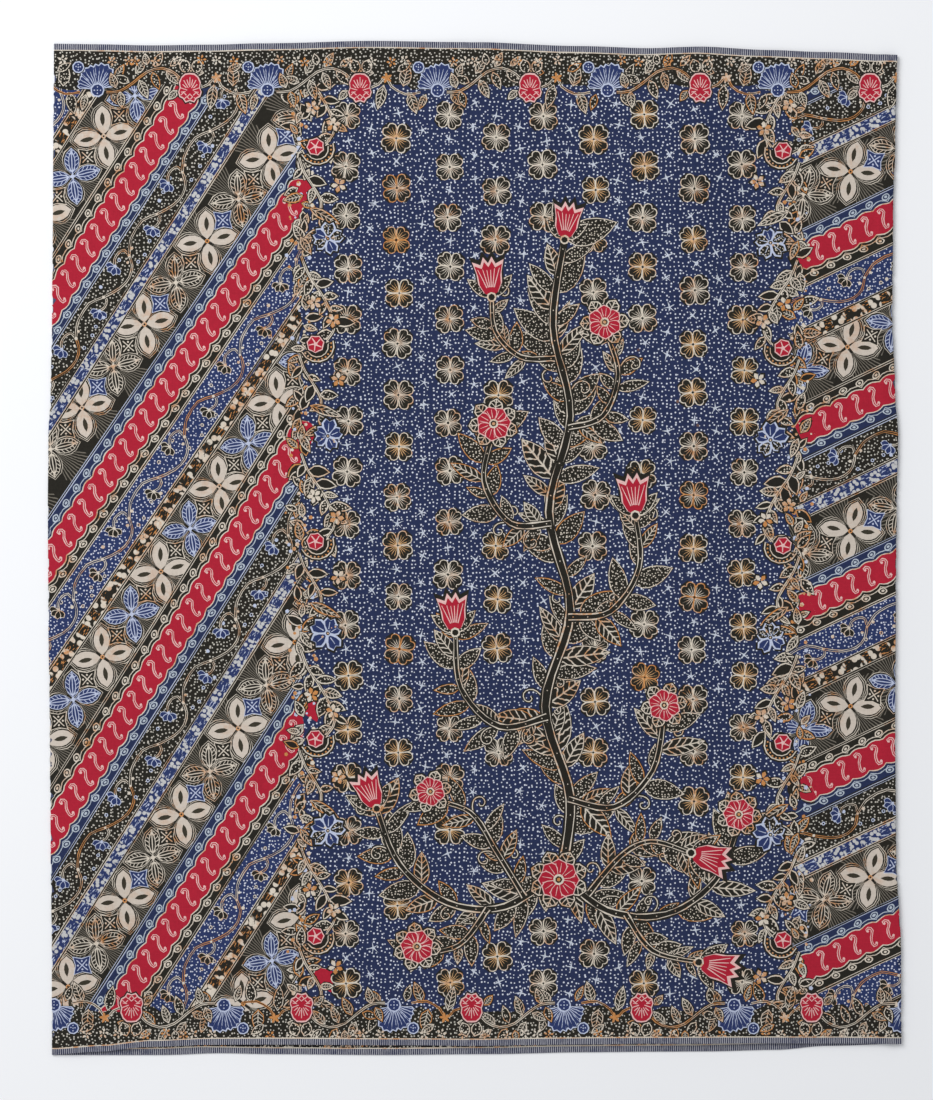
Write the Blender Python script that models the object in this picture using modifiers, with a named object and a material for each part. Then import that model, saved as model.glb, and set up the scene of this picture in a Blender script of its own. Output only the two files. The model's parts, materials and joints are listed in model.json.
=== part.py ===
"""A batik tube sarong laid flat: one cotton cloth, folded at the left and seamed at the right.

+X runs across the tube, +Y from the lower edge to the upper edge, +Z up from the surface below.
The printed face of the cloth is outside, all the way round. Sizes are in metres.
"""

import math
from collections import namedtuple

import bpy

# Driving sizes of the laid cloth.
TUBE_WIDTH = 0.884  # from the fold to the seam, half the round of the tube
CLOTH_HEIGHT = 1.045  # from the lower edge to the upper edge
WALL = 0.0010  # one layer of cloth, with its nap and air
LAYER_GAP = 0.0003  # between two layers that lie on each other
SEAM_ALLOWANCE = 0.009  # each raw end is turned in this far at the seam
FOLD_RETURN = 0.006  # the front stretch runs on under the left fold this far

# How finely the cloth is divided.
ROWS = 26  # cells from the lower edge to the upper edge
FRONT_CELLS = 26  # even cells across the front, before those added at the creases
BACK_CELLS = 16  # even cells across the back
TURN_CELLS = 6  # cells round a half turn of cloth
CREASE_STEPS = (-1.4, -0.7, 0.0, 0.7, 1.4)  # extra stations, in half widths of a crease
LEAST_CELL = 0.003  # stations closer than this are merged

MM = 0.001

# The lower and upper edges wander from straight, in millimetres, at a share of the width.
AcrossRow = namedtuple("AcrossRow", "share top front_bottom back_top back_bottom")
ACROSS = (
    AcrossRow(0.00, 1.1, -10.2, 1.1, -10.2),
    AcrossRow(0.06, 0.2, -6.3, -1.2, -10.2),
    AcrossRow(0.12, -0.9, -1.2, -3.0, -10.1),
    AcrossRow(0.19, -0.2, 1.0, -3.0, -8.2),
    AcrossRow(0.25, 1.0, 1.6, -2.0, -9.2),
    AcrossRow(0.38, 3.9, 0.6, 0.6, -10.1),
    AcrossRow(0.50, 2.2, 0.2, -0.6, -9.2),
    AcrossRow(0.62, -1.6, 1.4, -4.2, -7.2),
    AcrossRow(0.70, -3.8, 2.2, -6.0, -6.6),
    AcrossRow(0.76, -2.4, 2.4, -5.4, -6.3),
    AcrossRow(0.84, -5.8, 2.6, -8.0, -4.7),
    AcrossRow(0.90, -7.8, 2.4, -9.4, -0.6),
    AcrossRow(1.00, -11.3, 1.9, -11.3, 1.9),
)

# The side edges wander too, in millimetres, at a share of the height.
AlongRow = namedtuple("AlongRow", "share left right")
ALONG = (
    AlongRow(0.00, 2.1, 5.2),
    AlongRow(0.09, 2.0, 4.7),
    AlongRow(0.20, 0.7, -0.4),
    AlongRow(0.31, -0.2, -1.3),
    AlongRow(0.44, -1.7, -0.7),
    AlongRow(0.53, -2.2, 0.2),
    AlongRow(0.61, -1.6, 1.7),
    AlongRow(0.65, 0.7, -1.3),
    AlongRow(0.73, 2.2, -4.3),
    AlongRow(0.84, 3.1, -3.4),
    AlongRow(0.90, 3.4, -1.3),
    AlongRow(1.00, 4.2, 1.0),
)

# Creases left by folding the sarong away in quarters: a low ridge with a pressed line in it.
Crease = namedtuple("Crease", "share ridge ridge_half press press_half lean")
CREASES = (
    Crease(0.252, 1.5, 0.024, 0.7, 0.006, 0.003),
    Crease(0.497, 1.9, 0.028, 1.2, 0.007, -0.004),
    Crease(0.752, 1.6, 0.024, 0.8, 0.006, 0.005),
)

# Broad soft swells where air stays under the front layer: waves over the cloth and height.
Swell = namedtuple("Swell", "height waves_across waves_along phase")
SWELLS = (
    Swell(0.7, 1.5, 1.0, 0.4),
    Swell(0.4, 3.5, 2.0, 2.1),
    Swell(0.3, 2.0, 4.5, 4.0),
)
HEM_LIFT = 1.2  # the front's lower edge stands this much higher, in millimetres
HEM_REACH = 0.05  # over this share of the height
SIDE_FADE = 0.03  # the relief dies out over this share of the width at each side

INDIGO = (0.028, 0.045, 0.150, 1.0)
INDIGO_SHADE = (0.024, 0.040, 0.130, 1.0)
COTTON_ROUGHNESS = 0.85


def eased(rows, share, column):
    """A column of a table at a share of the way, eased between the two nearest rows."""
    for low, high in zip(rows, rows[1:]):
        if share <= high.share:
            break
    part = min(1.0, max(0.0, (share - low.share) / (high.share - low.share)))
    part = part * part * (3.0 - 2.0 * part)
    start, end = getattr(low, column), getattr(high, column)
    return (start + (end - start) * part) * MM


def left_edge(along):
    return -TUBE_WIDTH / 2 + eased(ALONG, along, "left")


def right_edge(along):
    return TUBE_WIDTH / 2 + eased(ALONG, along, "right")


def height_at(across, along, layer):
    """The Y of a point: the layer's lower and upper edges, with the height shared between them."""
    share = min(1.0, max(0.0, across))
    bottom_column, top_column = (
        ("front_bottom", "top") if layer == "front" else ("back_bottom", "back_top")
    )
    low = -CLOTH_HEIGHT / 2 + eased(ACROSS, share, bottom_column)
    high = CLOTH_HEIGHT / 2 + eased(ACROSS, share, top_column)
    return low + (high - low) * along


def relief(across, along):
    """How far the front layer stands above lying flat on the back layer."""
    side = min(across, 1.0 - across) / SIDE_FADE
    fade = min(1.0, max(0.0, side))
    fade = fade * fade * (3.0 - 2.0 * fade)
    rise = 0.0
    for swell in SWELLS:
        angle = 2.0 * math.pi * (swell.waves_across * across + swell.waves_along * along)
        rise += swell.height * (1.0 + math.sin(angle + swell.phase)) / 2.0
    for crease in CREASES:
        middle = crease.share + crease.lean * math.sin(math.pi * along)
        away = (across - middle) * TUBE_WIDTH
        rise += crease.ridge * math.exp(-((away / crease.ridge_half) ** 2))
        rise -= crease.press * math.exp(-((away / crease.press_half) ** 2))
    rise += HEM_LIFT * max(0.0, 1.0 - along / HEM_REACH) ** 2
    return max(0.0, rise) * fade * MM


def front_stations():
    """Shares of the width where the front has a line of points, closer at the creases."""
    shares = [i / FRONT_CELLS for i in range(FRONT_CELLS + 1)]
    for crease in CREASES:
        half = crease.press_half / TUBE_WIDTH
        shares += [crease.share + half * step for step in CREASE_STEPS]
        half = crease.ridge_half / TUBE_WIDTH
        shares += [crease.share + half * side for side in (-1.0, 1.0)]
    kept = []
    for share in sorted(shares):
        if not kept or (share - kept[-1]) * TUBE_WIDTH > LEAST_CELL:
            kept.append(share)
    kept[-1] = 1.0
    return kept


def front_section():
    """The front's outer face from the left fold's return round to the turned-in right end.

    Each station is (share across, side, X from that side edge, Z, how much relief it takes).
    """
    radius = WALL + LAYER_GAP / 2
    seam_top = 4 * WALL + 3 * LAYER_GAP
    rest_top = 2 * radius
    section = [(0.0, "left", radius + FOLD_RETURN, 0.0, 0.0)]
    for i in range(TURN_CELLS + 1):
        angle = math.pi * i / TURN_CELLS
        x = radius - radius * math.sin(angle)
        z = radius - radius * math.cos(angle)
        section.append((0.0, "left", x, z, 0.0))
    for share in front_stations():
        inward = share * TUBE_WIDTH
        outward = TUBE_WIDTH - inward
        if inward < 4 * radius or outward < 6 * radius:
            continue
        # The cloth climbs over the two turned-in ends beside the seam.
        climb = min(1.0, max(0.0, (SEAM_ALLOWANCE * 2.6 - outward) / (SEAM_ALLOWANCE * 1.4)))
        z = rest_top + (seam_top - rest_top) * climb * climb * (3.0 - 2.0 * climb)
        section.append((share, "between", 0.0, z, 1.0))
    for outward in (SEAM_ALLOWANCE * 1.1, SEAM_ALLOWANCE * 0.55):
        section.append((1.0, "right", outward, seam_top, 0.0))
    for i in range(TURN_CELLS + 1):
        angle = math.pi * i / TURN_CELLS
        x = radius - radius * math.sin(angle)
        z = seam_top - radius + radius * math.cos(angle)
        section.append((1.0, "right", x, z, 0.0))
    section.append((1.0, "right", radius + SEAM_ALLOWANCE, seam_top - rest_top, 0.0))
    return section


def back_section():
    """The back's outer face from its turned-in right end along the surface to the left fold."""
    radius = WALL + LAYER_GAP / 2
    section = [(1.0, "right", radius + SEAM_ALLOWANCE, 2 * radius, 0.0)]
    for i in range(TURN_CELLS + 1):
        angle = math.pi * i / TURN_CELLS
        x = radius - radius * math.sin(angle)
        z = radius + radius * math.cos(angle)
        section.append((1.0, "right", x, z, 0.0))
    start = radius + FOLD_RETURN + LAYER_GAP
    for i in range(1, BACK_CELLS):
        section.append((1.0 - i / BACK_CELLS, "between", 0.0, 0.0, 0.0))
    section.append((0.0, "left", start, 0.0, 0.0))
    return section


def place(station, along, layer):
    """A station of a section, at a share of the height, as a point of the laid cloth."""
    share, side, inward, z, takes_relief = station
    left, right = left_edge(along), right_edge(along)
    if side == "left":
        x = left + inward
    elif side == "right":
        x = right - inward
    else:
        x = left + (right - left) * share
    across = (x - left) / (right - left)
    y = height_at(across, along, layer)
    return x, y, z + relief(across, along) * takes_relief


def cloth_material(name, colour):
    material = bpy.data.materials.new(name)
    material.use_nodes = True
    shader = material.node_tree.nodes["Principled BSDF"]
    shader.inputs["Base Color"].default_value = colour
    shader.inputs["Roughness"].default_value = COTTON_ROUGHNESS
    shader.inputs["Metallic"].default_value = 0.0
    material.diffuse_color = colour
    return material


def cloth_stretch(name, section, layer, colour, collection):
    """A stretch of the tube: a grid laid along its section, thickened inwards by one wall."""
    bpy.ops.mesh.primitive_grid_add(
        x_subdivisions=len(section) - 1, y_subdivisions=ROWS, size=1.0
    )
    stretch = bpy.context.object
    stretch.name = name
    stretch.data.name = name
    for vertex in stretch.data.vertices:
        column = round((vertex.co.x + 0.5) * (len(section) - 1))
        along = vertex.co.y + 0.5
        vertex.co = place(section[column], along, layer)
    solidify = stretch.modifiers.new("Wall", "SOLIDIFY")
    solidify.thickness = WALL
    solidify.offset = -1.0
    solidify.use_even_offset = True
    stretch.data.materials.append(cloth_material(name + "_cotton", colour))
    for old in list(stretch.users_collection):
        old.objects.unlink(stretch)
    collection.objects.link(stretch)
    return stretch


def centre_on_origin(stretches):
    """Moves the points so that the tube's box stands on the origin."""
    points = [vertex.co for stretch in stretches for vertex in stretch.data.vertices]
    middle_x = (min(p.x for p in points) + max(p.x for p in points)) / 2
    middle_y = (min(p.y for p in points) + max(p.y for p in points)) / 2
    for point in points:
        point.x -= middle_x
        point.y -= middle_y


def build_sarong():
    for old in list(bpy.data.objects):
        bpy.data.objects.remove(old)
    collection = bpy.data.collections.new("batik_sarong")
    bpy.context.scene.collection.children.link(collection)
    front = cloth_stretch("front_panel", front_section(), "front", INDIGO, collection)
    back = cloth_stretch("back_panel", back_section(), "back", INDIGO_SHADE, collection)
    centre_on_origin((front, back))


build_sarong()
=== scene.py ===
import json
import math
import random
from collections import namedtuple

import bpy
import numpy as np
from mathutils import Matrix, Vector
from mathutils.bvhtree import BVHTree
from mathutils.geometry import delaunay_2d_cdt

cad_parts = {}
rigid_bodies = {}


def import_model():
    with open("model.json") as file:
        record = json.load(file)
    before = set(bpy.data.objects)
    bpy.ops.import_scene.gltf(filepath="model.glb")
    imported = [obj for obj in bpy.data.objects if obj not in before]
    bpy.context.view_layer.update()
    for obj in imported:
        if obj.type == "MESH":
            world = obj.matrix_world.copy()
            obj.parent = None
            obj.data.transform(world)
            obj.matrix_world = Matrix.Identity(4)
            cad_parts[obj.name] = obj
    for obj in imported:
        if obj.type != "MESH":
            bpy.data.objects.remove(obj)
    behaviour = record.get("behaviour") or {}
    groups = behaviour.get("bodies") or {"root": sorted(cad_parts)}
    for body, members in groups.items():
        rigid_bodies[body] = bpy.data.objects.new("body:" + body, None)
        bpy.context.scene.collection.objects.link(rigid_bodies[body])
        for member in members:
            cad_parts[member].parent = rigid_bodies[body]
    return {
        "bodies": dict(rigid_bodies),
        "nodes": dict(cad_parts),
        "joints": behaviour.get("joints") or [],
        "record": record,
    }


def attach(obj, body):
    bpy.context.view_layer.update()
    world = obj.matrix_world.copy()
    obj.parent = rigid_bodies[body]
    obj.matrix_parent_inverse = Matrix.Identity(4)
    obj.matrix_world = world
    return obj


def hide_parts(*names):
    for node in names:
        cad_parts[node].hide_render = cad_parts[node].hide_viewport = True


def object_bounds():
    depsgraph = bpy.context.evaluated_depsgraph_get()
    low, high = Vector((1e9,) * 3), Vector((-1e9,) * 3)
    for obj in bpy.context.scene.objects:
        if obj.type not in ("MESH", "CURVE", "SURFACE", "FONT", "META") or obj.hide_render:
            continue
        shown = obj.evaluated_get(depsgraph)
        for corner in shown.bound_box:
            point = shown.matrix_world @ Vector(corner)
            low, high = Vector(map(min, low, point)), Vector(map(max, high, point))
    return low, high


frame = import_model()
cad_low, cad_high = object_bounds()


# The view
# The laid sarong is seen from straight above, from far enough for its sides to look square.
# The frame is taller than wide, so the sensor's long side is the height of the view.
VIEW_TALL = 1.1495  # metres of table seen from the top of the frame to the bottom
VIEW_CENTRE = (-0.0083, -0.0020)
LENS_MM = 85.0
SENSOR_MM = 36.0
camera = bpy.data.objects.new("camera", bpy.data.cameras.new("camera"))
camera.data.lens = LENS_MM
camera.data.sensor_width = SENSOR_MM
camera.location = (*VIEW_CENTRE, VIEW_TALL * LENS_MM / SENSOR_MM)
bpy.context.scene.collection.objects.link(camera)
bpy.context.scene.camera = camera


# The table and the light
# A plain white paper ground, far larger than the cloth, a hair below what rests on it.
# The light is a white room with one wide lamp from the upper left, so folds shade softly.
TABLE_HALF = 8.0
TABLE_GAP = 0.0002
PAPER_WHITE = (0.90, 0.91, 0.93, 1.0)
ROOM_LIGHT = (0.97, 0.98, 1.0, 1.0)
ROOM_STRENGTH = 0.565
LAMP_WATTS = 86.0
LAMP_SIZE = 2.2
LAMP_PLACE = (-1.9, 1.6, 2.6)
bpy.ops.mesh.primitive_plane_add(size=TABLE_HALF * 2, location=(0.0, 0.0, -TABLE_GAP))
table = bpy.context.object
table.name = "table"
paper = bpy.data.materials.new("white_paper")
paper.use_nodes = True
paper_shader = paper.node_tree.nodes["Principled BSDF"]
paper_shader.inputs["Base Color"].default_value = PAPER_WHITE
paper_shader.inputs["Roughness"].default_value = 0.9
paper_shader.inputs["Specular IOR Level"].default_value = 0.1
table.data.materials.append(paper)
room = bpy.data.worlds.new("white_room")
room.use_nodes = True
room.node_tree.nodes["Background"].inputs["Color"].default_value = ROOM_LIGHT
room.node_tree.nodes["Background"].inputs["Strength"].default_value = ROOM_STRENGTH
bpy.context.scene.world = room
lamp = bpy.data.objects.new("lamp", bpy.data.lights.new("lamp", "AREA"))
lamp.data.energy = LAMP_WATTS
lamp.data.size = LAMP_SIZE
lamp.location = LAMP_PLACE
lamp.rotation_mode = "QUATERNION"
lamp.rotation_quaternion = (-Vector(LAMP_PLACE)).to_track_quat("-Z", "Y")
bpy.context.scene.collection.objects.link(lamp)
bpy.context.scene.view_settings.view_transform = "Standard"


# The cotton and its dye baths
# The sarong is one plain-woven cotton. Wax is drawn on it, it is dyed, and the wax is boiled out,
# so each colour is a stain in the same threads: red first, then indigo, then the brown-black soga.
THREAD_PITCH = 0.00036  # from one thread to the next
THREAD_BUMP = 0.00005
COTTON_ROUGHNESS = 0.88
COTTON_GLOSS = 0.12
MOTIF_MAP = "motif"  # the cloth's map that gives each mark's own frame


def from_srgb(red, green, blue):
    """A colour read as 0 to 255 on a screen, as the light values that shaders use."""
    shares = [channel / 255 for channel in (red, green, blue)]
    linear = [s / 12.92 if s <= 0.04045 else ((s + 0.055) / 1.055) ** 2.4 for s in shares]
    return (*linear, 1.0)


def new_group(name, inputs, outputs):
    """An empty shader group with named float, colour and vector sockets, and its two ends."""
    group = bpy.data.node_groups.new(name, "ShaderNodeTree")
    for label, kind, value in inputs:
        socket = group.interface.new_socket(label, in_out="INPUT", socket_type=kind)
        socket.default_value = value
    for label, kind in outputs:
        group.interface.new_socket(label, in_out="OUTPUT", socket_type=kind)
    return group, group.nodes.new("NodeGroupInput"), group.nodes.new("NodeGroupOutput")


def math_node(tree, operation, first, second=None, third=None, clamp=False):
    """A Math node with each side linked from a socket or set to a number. Returns its output."""
    node = tree.nodes.new("ShaderNodeMath")
    node.operation = operation
    node.use_clamp = clamp
    for slot, value in enumerate((first, second, third)):
        if value is None:
            continue
        if isinstance(value, (int, float)):
            node.inputs[slot].default_value = value
        else:
            tree.links.new(value, node.inputs[slot])
    return node.outputs[0]


def noise_node(tree, vector, scale, detail=2.0, rough=0.5):
    """A Noise Texture read at a vector. Returns its value output."""
    node = tree.nodes.new("ShaderNodeTexNoise")
    node.inputs["Scale"].default_value = scale
    node.inputs["Detail"].default_value = detail
    node.inputs["Roughness"].default_value = rough
    tree.links.new(vector, node.inputs["Vector"])
    return node.outputs["Fac"]


def stretched(tree, vector, scale):
    """The vector scaled differently along each axis, for streaks that follow the threads."""
    node = tree.nodes.new("ShaderNodeMapping")
    node.inputs["Scale"].default_value = scale
    tree.links.new(vector, node.inputs["Vector"])
    return node.outputs["Vector"]


def mask_between(tree, value, low, high):
    """0 where the value is at or below low, 1 at or above high, soft between them."""
    node = tree.nodes.new("ShaderNodeMapRange")
    node.interpolation_type = "SMOOTHSTEP"
    node.inputs["From Min"].default_value = low
    node.inputs["From Max"].default_value = high
    tree.links.new(value, node.inputs["Value"])
    return node.outputs["Result"]


def make_weave():
    """Plain weave: warp and weft pass over and under each other, with thick and thin stretches."""
    group, start, end = new_group(
        "plain_weave",
        [("Place", "NodeSocketVector", (0, 0, 0)), ("Pitch", "NodeSocketFloat", THREAD_PITCH)],
        [("Height", "NodeSocketFloat"), ("Threads", "NodeSocketFloat")],
    )
    place = start.outputs["Place"]
    turns = math_node(group, "DIVIDE", math.pi, start.outputs["Pitch"])
    axes = group.nodes.new("ShaderNodeSeparateXYZ")
    group.links.new(place, axes.inputs[0])
    warp = math_node(group, "SINE", math_node(group, "MULTIPLY", axes.outputs["X"], turns))
    weft = math_node(group, "SINE", math_node(group, "MULTIPLY", axes.outputs["Y"], turns))
    crossing = math_node(group, "MULTIPLY", warp, weft)
    crossing = math_node(group, "MULTIPLY_ADD", crossing, 0.5, 0.5)
    warp_slub = noise_node(group, stretched(group, place, (1500.0, 55.0, 1.0)), 1.0)
    weft_slub = noise_node(group, stretched(group, place, (55.0, 1500.0, 1.0)), 1.0)
    slub = math_node(group, "ADD", warp_slub, weft_slub)
    slub = math_node(group, "MULTIPLY", slub, 0.5)
    group.links.new(math_node(group, "ADD", crossing, slub), end.inputs["Height"])
    group.links.new(slub, end.inputs["Threads"])
    return group


def make_dye_bath():
    """Dye takes unevenly: broad clouds where the cloth was bunched, mottle, and slubby threads."""
    group, start, end = new_group(
        "uneven_dye",
        [
            ("Place", "NodeSocketVector", (0, 0, 0)),
            ("Colour", "NodeSocketColor", (0.5, 0.5, 0.5, 1)),
            ("Threads", "NodeSocketFloat", 0.5),
            ("Cloud", "NodeSocketFloat", 0.2),
            ("Mottle", "NodeSocketFloat", 0.4),
            ("Slub", "NodeSocketFloat", 0.5),
        ],
        [("Colour", "NodeSocketColor")],
    )
    place = start.outputs["Place"]
    parts = (
        (noise_node(group, place, 9.0, 3.0), start.outputs["Cloud"]),
        (noise_node(group, place, 420.0, 3.0, 0.65), start.outputs["Mottle"]),
        (start.outputs["Threads"], start.outputs["Slub"]),
    )
    strength = 1.0
    for value, amount in parts:
        swing = math_node(group, "MULTIPLY", math_node(group, "SUBTRACT", value, 0.5), amount)
        strength = math_node(group, "ADD", swing, strength)
    scale = group.nodes.new("ShaderNodeVectorMath")
    scale.operation = "SCALE"
    group.links.new(start.outputs["Colour"], scale.inputs[0])
    group.links.new(strength, scale.inputs["Scale"])
    group.links.new(scale.outputs[0], end.inputs["Colour"])
    return group


def make_wax_dots():
    """Dots of wax set by hand from the spout of the pen: near rows, never quite in line."""
    group, start, end = new_group(
        "wax_dots",
        [
            ("Place", "NodeSocketVector", (0, 0, 0)),
            ("Per metre", "NodeSocketFloat", 180.0),
            ("Radius", "NodeSocketFloat", 0.16),
            ("Stray", "NodeSocketFloat", 0.6),
        ],
        [("Mask", "NodeSocketFloat")],
    )
    cells = group.nodes.new("ShaderNodeTexVoronoi")
    cells.voronoi_dimensions = "2D"
    group.links.new(start.outputs["Place"], cells.inputs["Vector"])
    group.links.new(start.outputs["Per metre"], cells.inputs["Scale"])
    group.links.new(start.outputs["Stray"], cells.inputs["Randomness"])
    chance = group.nodes.new("ShaderNodeSeparateColor")
    group.links.new(cells.outputs["Color"], chance.inputs[0])
    growth = math_node(group, "MULTIPLY_ADD", chance.outputs[0], 0.5, 0.72)
    radius = math_node(group, "MULTIPLY", start.outputs["Radius"], growth)
    share = math_node(group, "DIVIDE", cells.outputs["Distance"], radius)
    soft = mask_between(group, share, 0.75, 1.25)
    group.links.new(math_node(group, "SUBTRACT", 1.0, soft), end.inputs["Mask"])
    return group


def make_soga_stain():
    """Brown soga dye creeps under worn wax in patches, and runs in through cracks."""
    group, start, end = new_group(
        "soga_stain",
        [("Place", "NodeSocketVector", (0, 0, 0)), ("Amount", "NodeSocketFloat", 0.5)],
        [("Mask", "NodeSocketFloat")],
    )
    place = start.outputs["Place"]
    broad = mask_between(group, noise_node(group, place, 26.0, 2.0), 0.42, 0.62)
    fine = mask_between(group, noise_node(group, place, 170.0, 3.0, 0.6), 0.36, 0.66)
    both = math_node(group, "MULTIPLY", broad, fine)
    both = math_node(group, "MULTIPLY", both, start.outputs["Amount"], clamp=True)
    group.links.new(both, end.inputs["Mask"])
    return group


def near(tree, value, reach, soft):
    """1 where the value is within the reach of zero, fading out over the soft width."""
    away = math_node(tree, "ABSOLUTE", value)
    return math_node(tree, "SUBTRACT", 1.0, mask_between(tree, away, reach, reach + soft))


def motif_axes(tree, start):
    """The two axes of the place inside one motif, as sockets."""
    axes = tree.nodes.new("ShaderNodeSeparateXYZ")
    tree.links.new(start.outputs["Motif"], axes.inputs[0])
    return axes.outputs["X"], axes.outputs["Y"]


def from_nearest(tree, value, pitch):
    """How far a value is from the nearest whole number of pitches, in shares of one pitch."""
    share = math_node(tree, "DIVIDE", value, pitch)
    part = math_node(tree, "FRACT", math_node(tree, "ADD", share, 0.5))
    return math_node(tree, "SUBTRACT", part, 0.5)


def unsteady_place(tree, start, amount):
    """The place inside a motif, pushed about a little, as a hand-drawn line wanders."""
    noise = tree.nodes.new("ShaderNodeTexNoise")
    noise.inputs["Scale"].default_value = 210.0
    noise.inputs["Detail"].default_value = 2.0
    tree.links.new(start.outputs["Place"], noise.inputs["Vector"])
    middle = tree.nodes.new("ShaderNodeVectorMath")
    middle.operation = "SUBTRACT"
    middle.inputs[1].default_value = (0.5, 0.5, 0.5)
    tree.links.new(noise.outputs["Color"], middle.inputs[0])
    push = tree.nodes.new("ShaderNodeVectorMath")
    push.operation = "SCALE"
    push.inputs["Scale"].default_value = amount
    tree.links.new(middle.outputs[0], push.inputs[0])
    moved = tree.nodes.new("ShaderNodeVectorMath")
    tree.links.new(start.outputs["Motif"], moved.inputs[0])
    tree.links.new(push.outputs[0], moved.inputs[1])
    axes = tree.nodes.new("ShaderNodeSeparateXYZ")
    tree.links.new(moved.outputs[0], axes.inputs[0])
    return axes.outputs["X"], axes.outputs["Y"]


MOTIF_INPUTS = (("Place", "NodeSocketVector", (0, 0, 0)), ("Motif", "NodeSocketVector", (0, 0, 0)))


def make_leaf_veins():
    """A midrib and slanting veins. Motif runs 0 to 1 along the leaf and -1 to 1 across it."""
    group, start, end = new_group(
        "leaf_veins",
        [*MOTIF_INPUTS, ("Veins", "NodeSocketFloat", 5.0), ("Core", "NodeSocketFloat", 0.0)],
        [("Mask", "NodeSocketFloat")],
    )
    along, across = unsteady_place(group, start, 0.09)
    aside = math_node(group, "ABSOLUTE", across)
    rib = near(group, aside, 0.02, 0.09)
    slant = math_node(group, "SUBTRACT", along, math_node(group, "MULTIPLY", aside, 0.20))
    row = from_nearest(group, math_node(group, "MULTIPLY", slant, start.outputs["Veins"]), 1.0)
    veins = near(group, row, 0.04, 0.12)
    oval_u = math_node(group, "DIVIDE", math_node(group, "SUBTRACT", along, 0.5), 0.33)
    oval_v = math_node(group, "DIVIDE", aside, 0.42)
    square_u = math_node(group, "MULTIPLY", oval_u, oval_u)
    square_v = math_node(group, "MULTIPLY", oval_v, oval_v)
    oval = math_node(group, "SQRT", math_node(group, "ADD", square_u, square_v))
    ring = near(group, math_node(group, "SUBTRACT", oval, 1.0), 0.06, 0.10)
    inside = math_node(group, "SUBTRACT", 1.0, mask_between(group, oval, 0.9, 1.1))
    inside = math_node(group, "MULTIPLY", inside, start.outputs["Core"])
    outside = math_node(group, "SUBTRACT", 1.0, inside)
    veins = math_node(group, "MULTIPLY", veins, outside)
    ring = math_node(group, "MULTIPLY", ring, start.outputs["Core"])
    marks = math_node(group, "MAXIMUM", math_node(group, "MAXIMUM", rib, veins), ring)
    group.links.new(marks, end.inputs["Mask"])
    return group


def make_burst():
    """Tapering rays from a flower's middle. Motif is in millimetres from that middle."""
    group, start, end = new_group(
        "petal_burst",
        [
            *MOTIF_INPUTS,
            ("Rays", "NodeSocketFloat", 22.0),
            ("Reach", "NodeSocketFloat", 12.0),
            ("Solid", "NodeSocketFloat", 2.6),
            ("Wide", "NodeSocketFloat", 0.37),
        ],
        [("Mask", "NodeSocketFloat")],
    )
    along, across = unsteady_place(group, start, 1.6)
    turn = math_node(group, "DIVIDE", math_node(group, "ARCTAN2", across, along), 2.0 * math.pi)
    row = from_nearest(group, math_node(group, "MULTIPLY", turn, start.outputs["Rays"]), 1.0)
    square = math_node(group, "MULTIPLY", along, along)
    radius = math_node(group, "SQRT", math_node(group, "MULTIPLY_ADD", across, across, square))
    length = noise_node(group, stretched(group, start.outputs["Place"], (260.0, 260.0, 1.0)), 1.0)
    reach = math_node(group, "MULTIPLY", start.outputs["Reach"], math_node(group, "ADD", length, 0.5))
    share = math_node(group, "DIVIDE", radius, reach)
    wide = math_node(group, "SUBTRACT", 1.0, share)
    wide = math_node(group, "MULTIPLY", wide, start.outputs["Wide"])
    row = math_node(group, "SUBTRACT", math_node(group, "ABSOLUTE", row), wide)
    rays = math_node(group, "SUBTRACT", 1.0, mask_between(group, row, -0.06, 0.06))
    solid = math_node(group, "SUBTRACT", radius, start.outputs["Solid"])
    solid = math_node(group, "SUBTRACT", 1.0, mask_between(group, solid, -0.3, 0.3))
    group.links.new(math_node(group, "MAXIMUM", rays, solid), end.inputs["Mask"])
    return group


def make_eye_row():
    """A wavy line and an eye in each hollow. Motif is millimetres along and out from the band."""
    group, start, end = new_group(
        "eye_row",
        [
            *MOTIF_INPUTS,
            ("Pitch", "NodeSocketFloat", 19.0),
            ("Wave line", "NodeSocketFloat", 14.6),
            ("Wave deep", "NodeSocketFloat", 3.6),
            ("Eyes at", "NodeSocketFloat", 19.6),
        ],
        [("Mask", "NodeSocketFloat")],
    )
    along, out = unsteady_place(group, start, 2.0)
    out = math_node(group, "ABSOLUTE", out)
    part = from_nearest(group, along, start.outputs["Pitch"])
    swing = math_node(group, "SINE", math_node(group, "MULTIPLY", part, math.pi))
    swing = math_node(group, "POWER", math_node(group, "ABSOLUTE", swing), 0.7)
    line_at = math_node(group, "MULTIPLY", swing, start.outputs["Wave deep"])
    line_at = math_node(group, "ADD", line_at, start.outputs["Wave line"])
    wave = near(group, math_node(group, "SUBTRACT", out, line_at), 0.26, 0.34)
    across_eye = math_node(group, "SUBTRACT", out, start.outputs["Eyes at"])
    along_eye = math_node(group, "MULTIPLY", part, start.outputs["Pitch"])
    across_eye = math_node(group, "DIVIDE", across_eye, 0.76)
    lean = math_node(group, "MULTIPLY", across_eye, 0.2)
    along_eye = math_node(group, "SUBTRACT", along_eye, lean)
    square_a = math_node(group, "MULTIPLY", along_eye, along_eye)
    square_b = math_node(group, "MULTIPLY", across_eye, across_eye)
    radius = math_node(group, "SQRT", math_node(group, "ADD", square_a, square_b))
    ring = near(group, math_node(group, "SUBTRACT", radius, 3.7), 0.46, 0.40)
    pupil = near(group, radius, 1.2, 0.8)
    marks = math_node(group, "MAXIMUM", math_node(group, "MAXIMUM", wave, ring), pupil)
    group.links.new(marks, end.inputs["Mask"])
    return group


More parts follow.
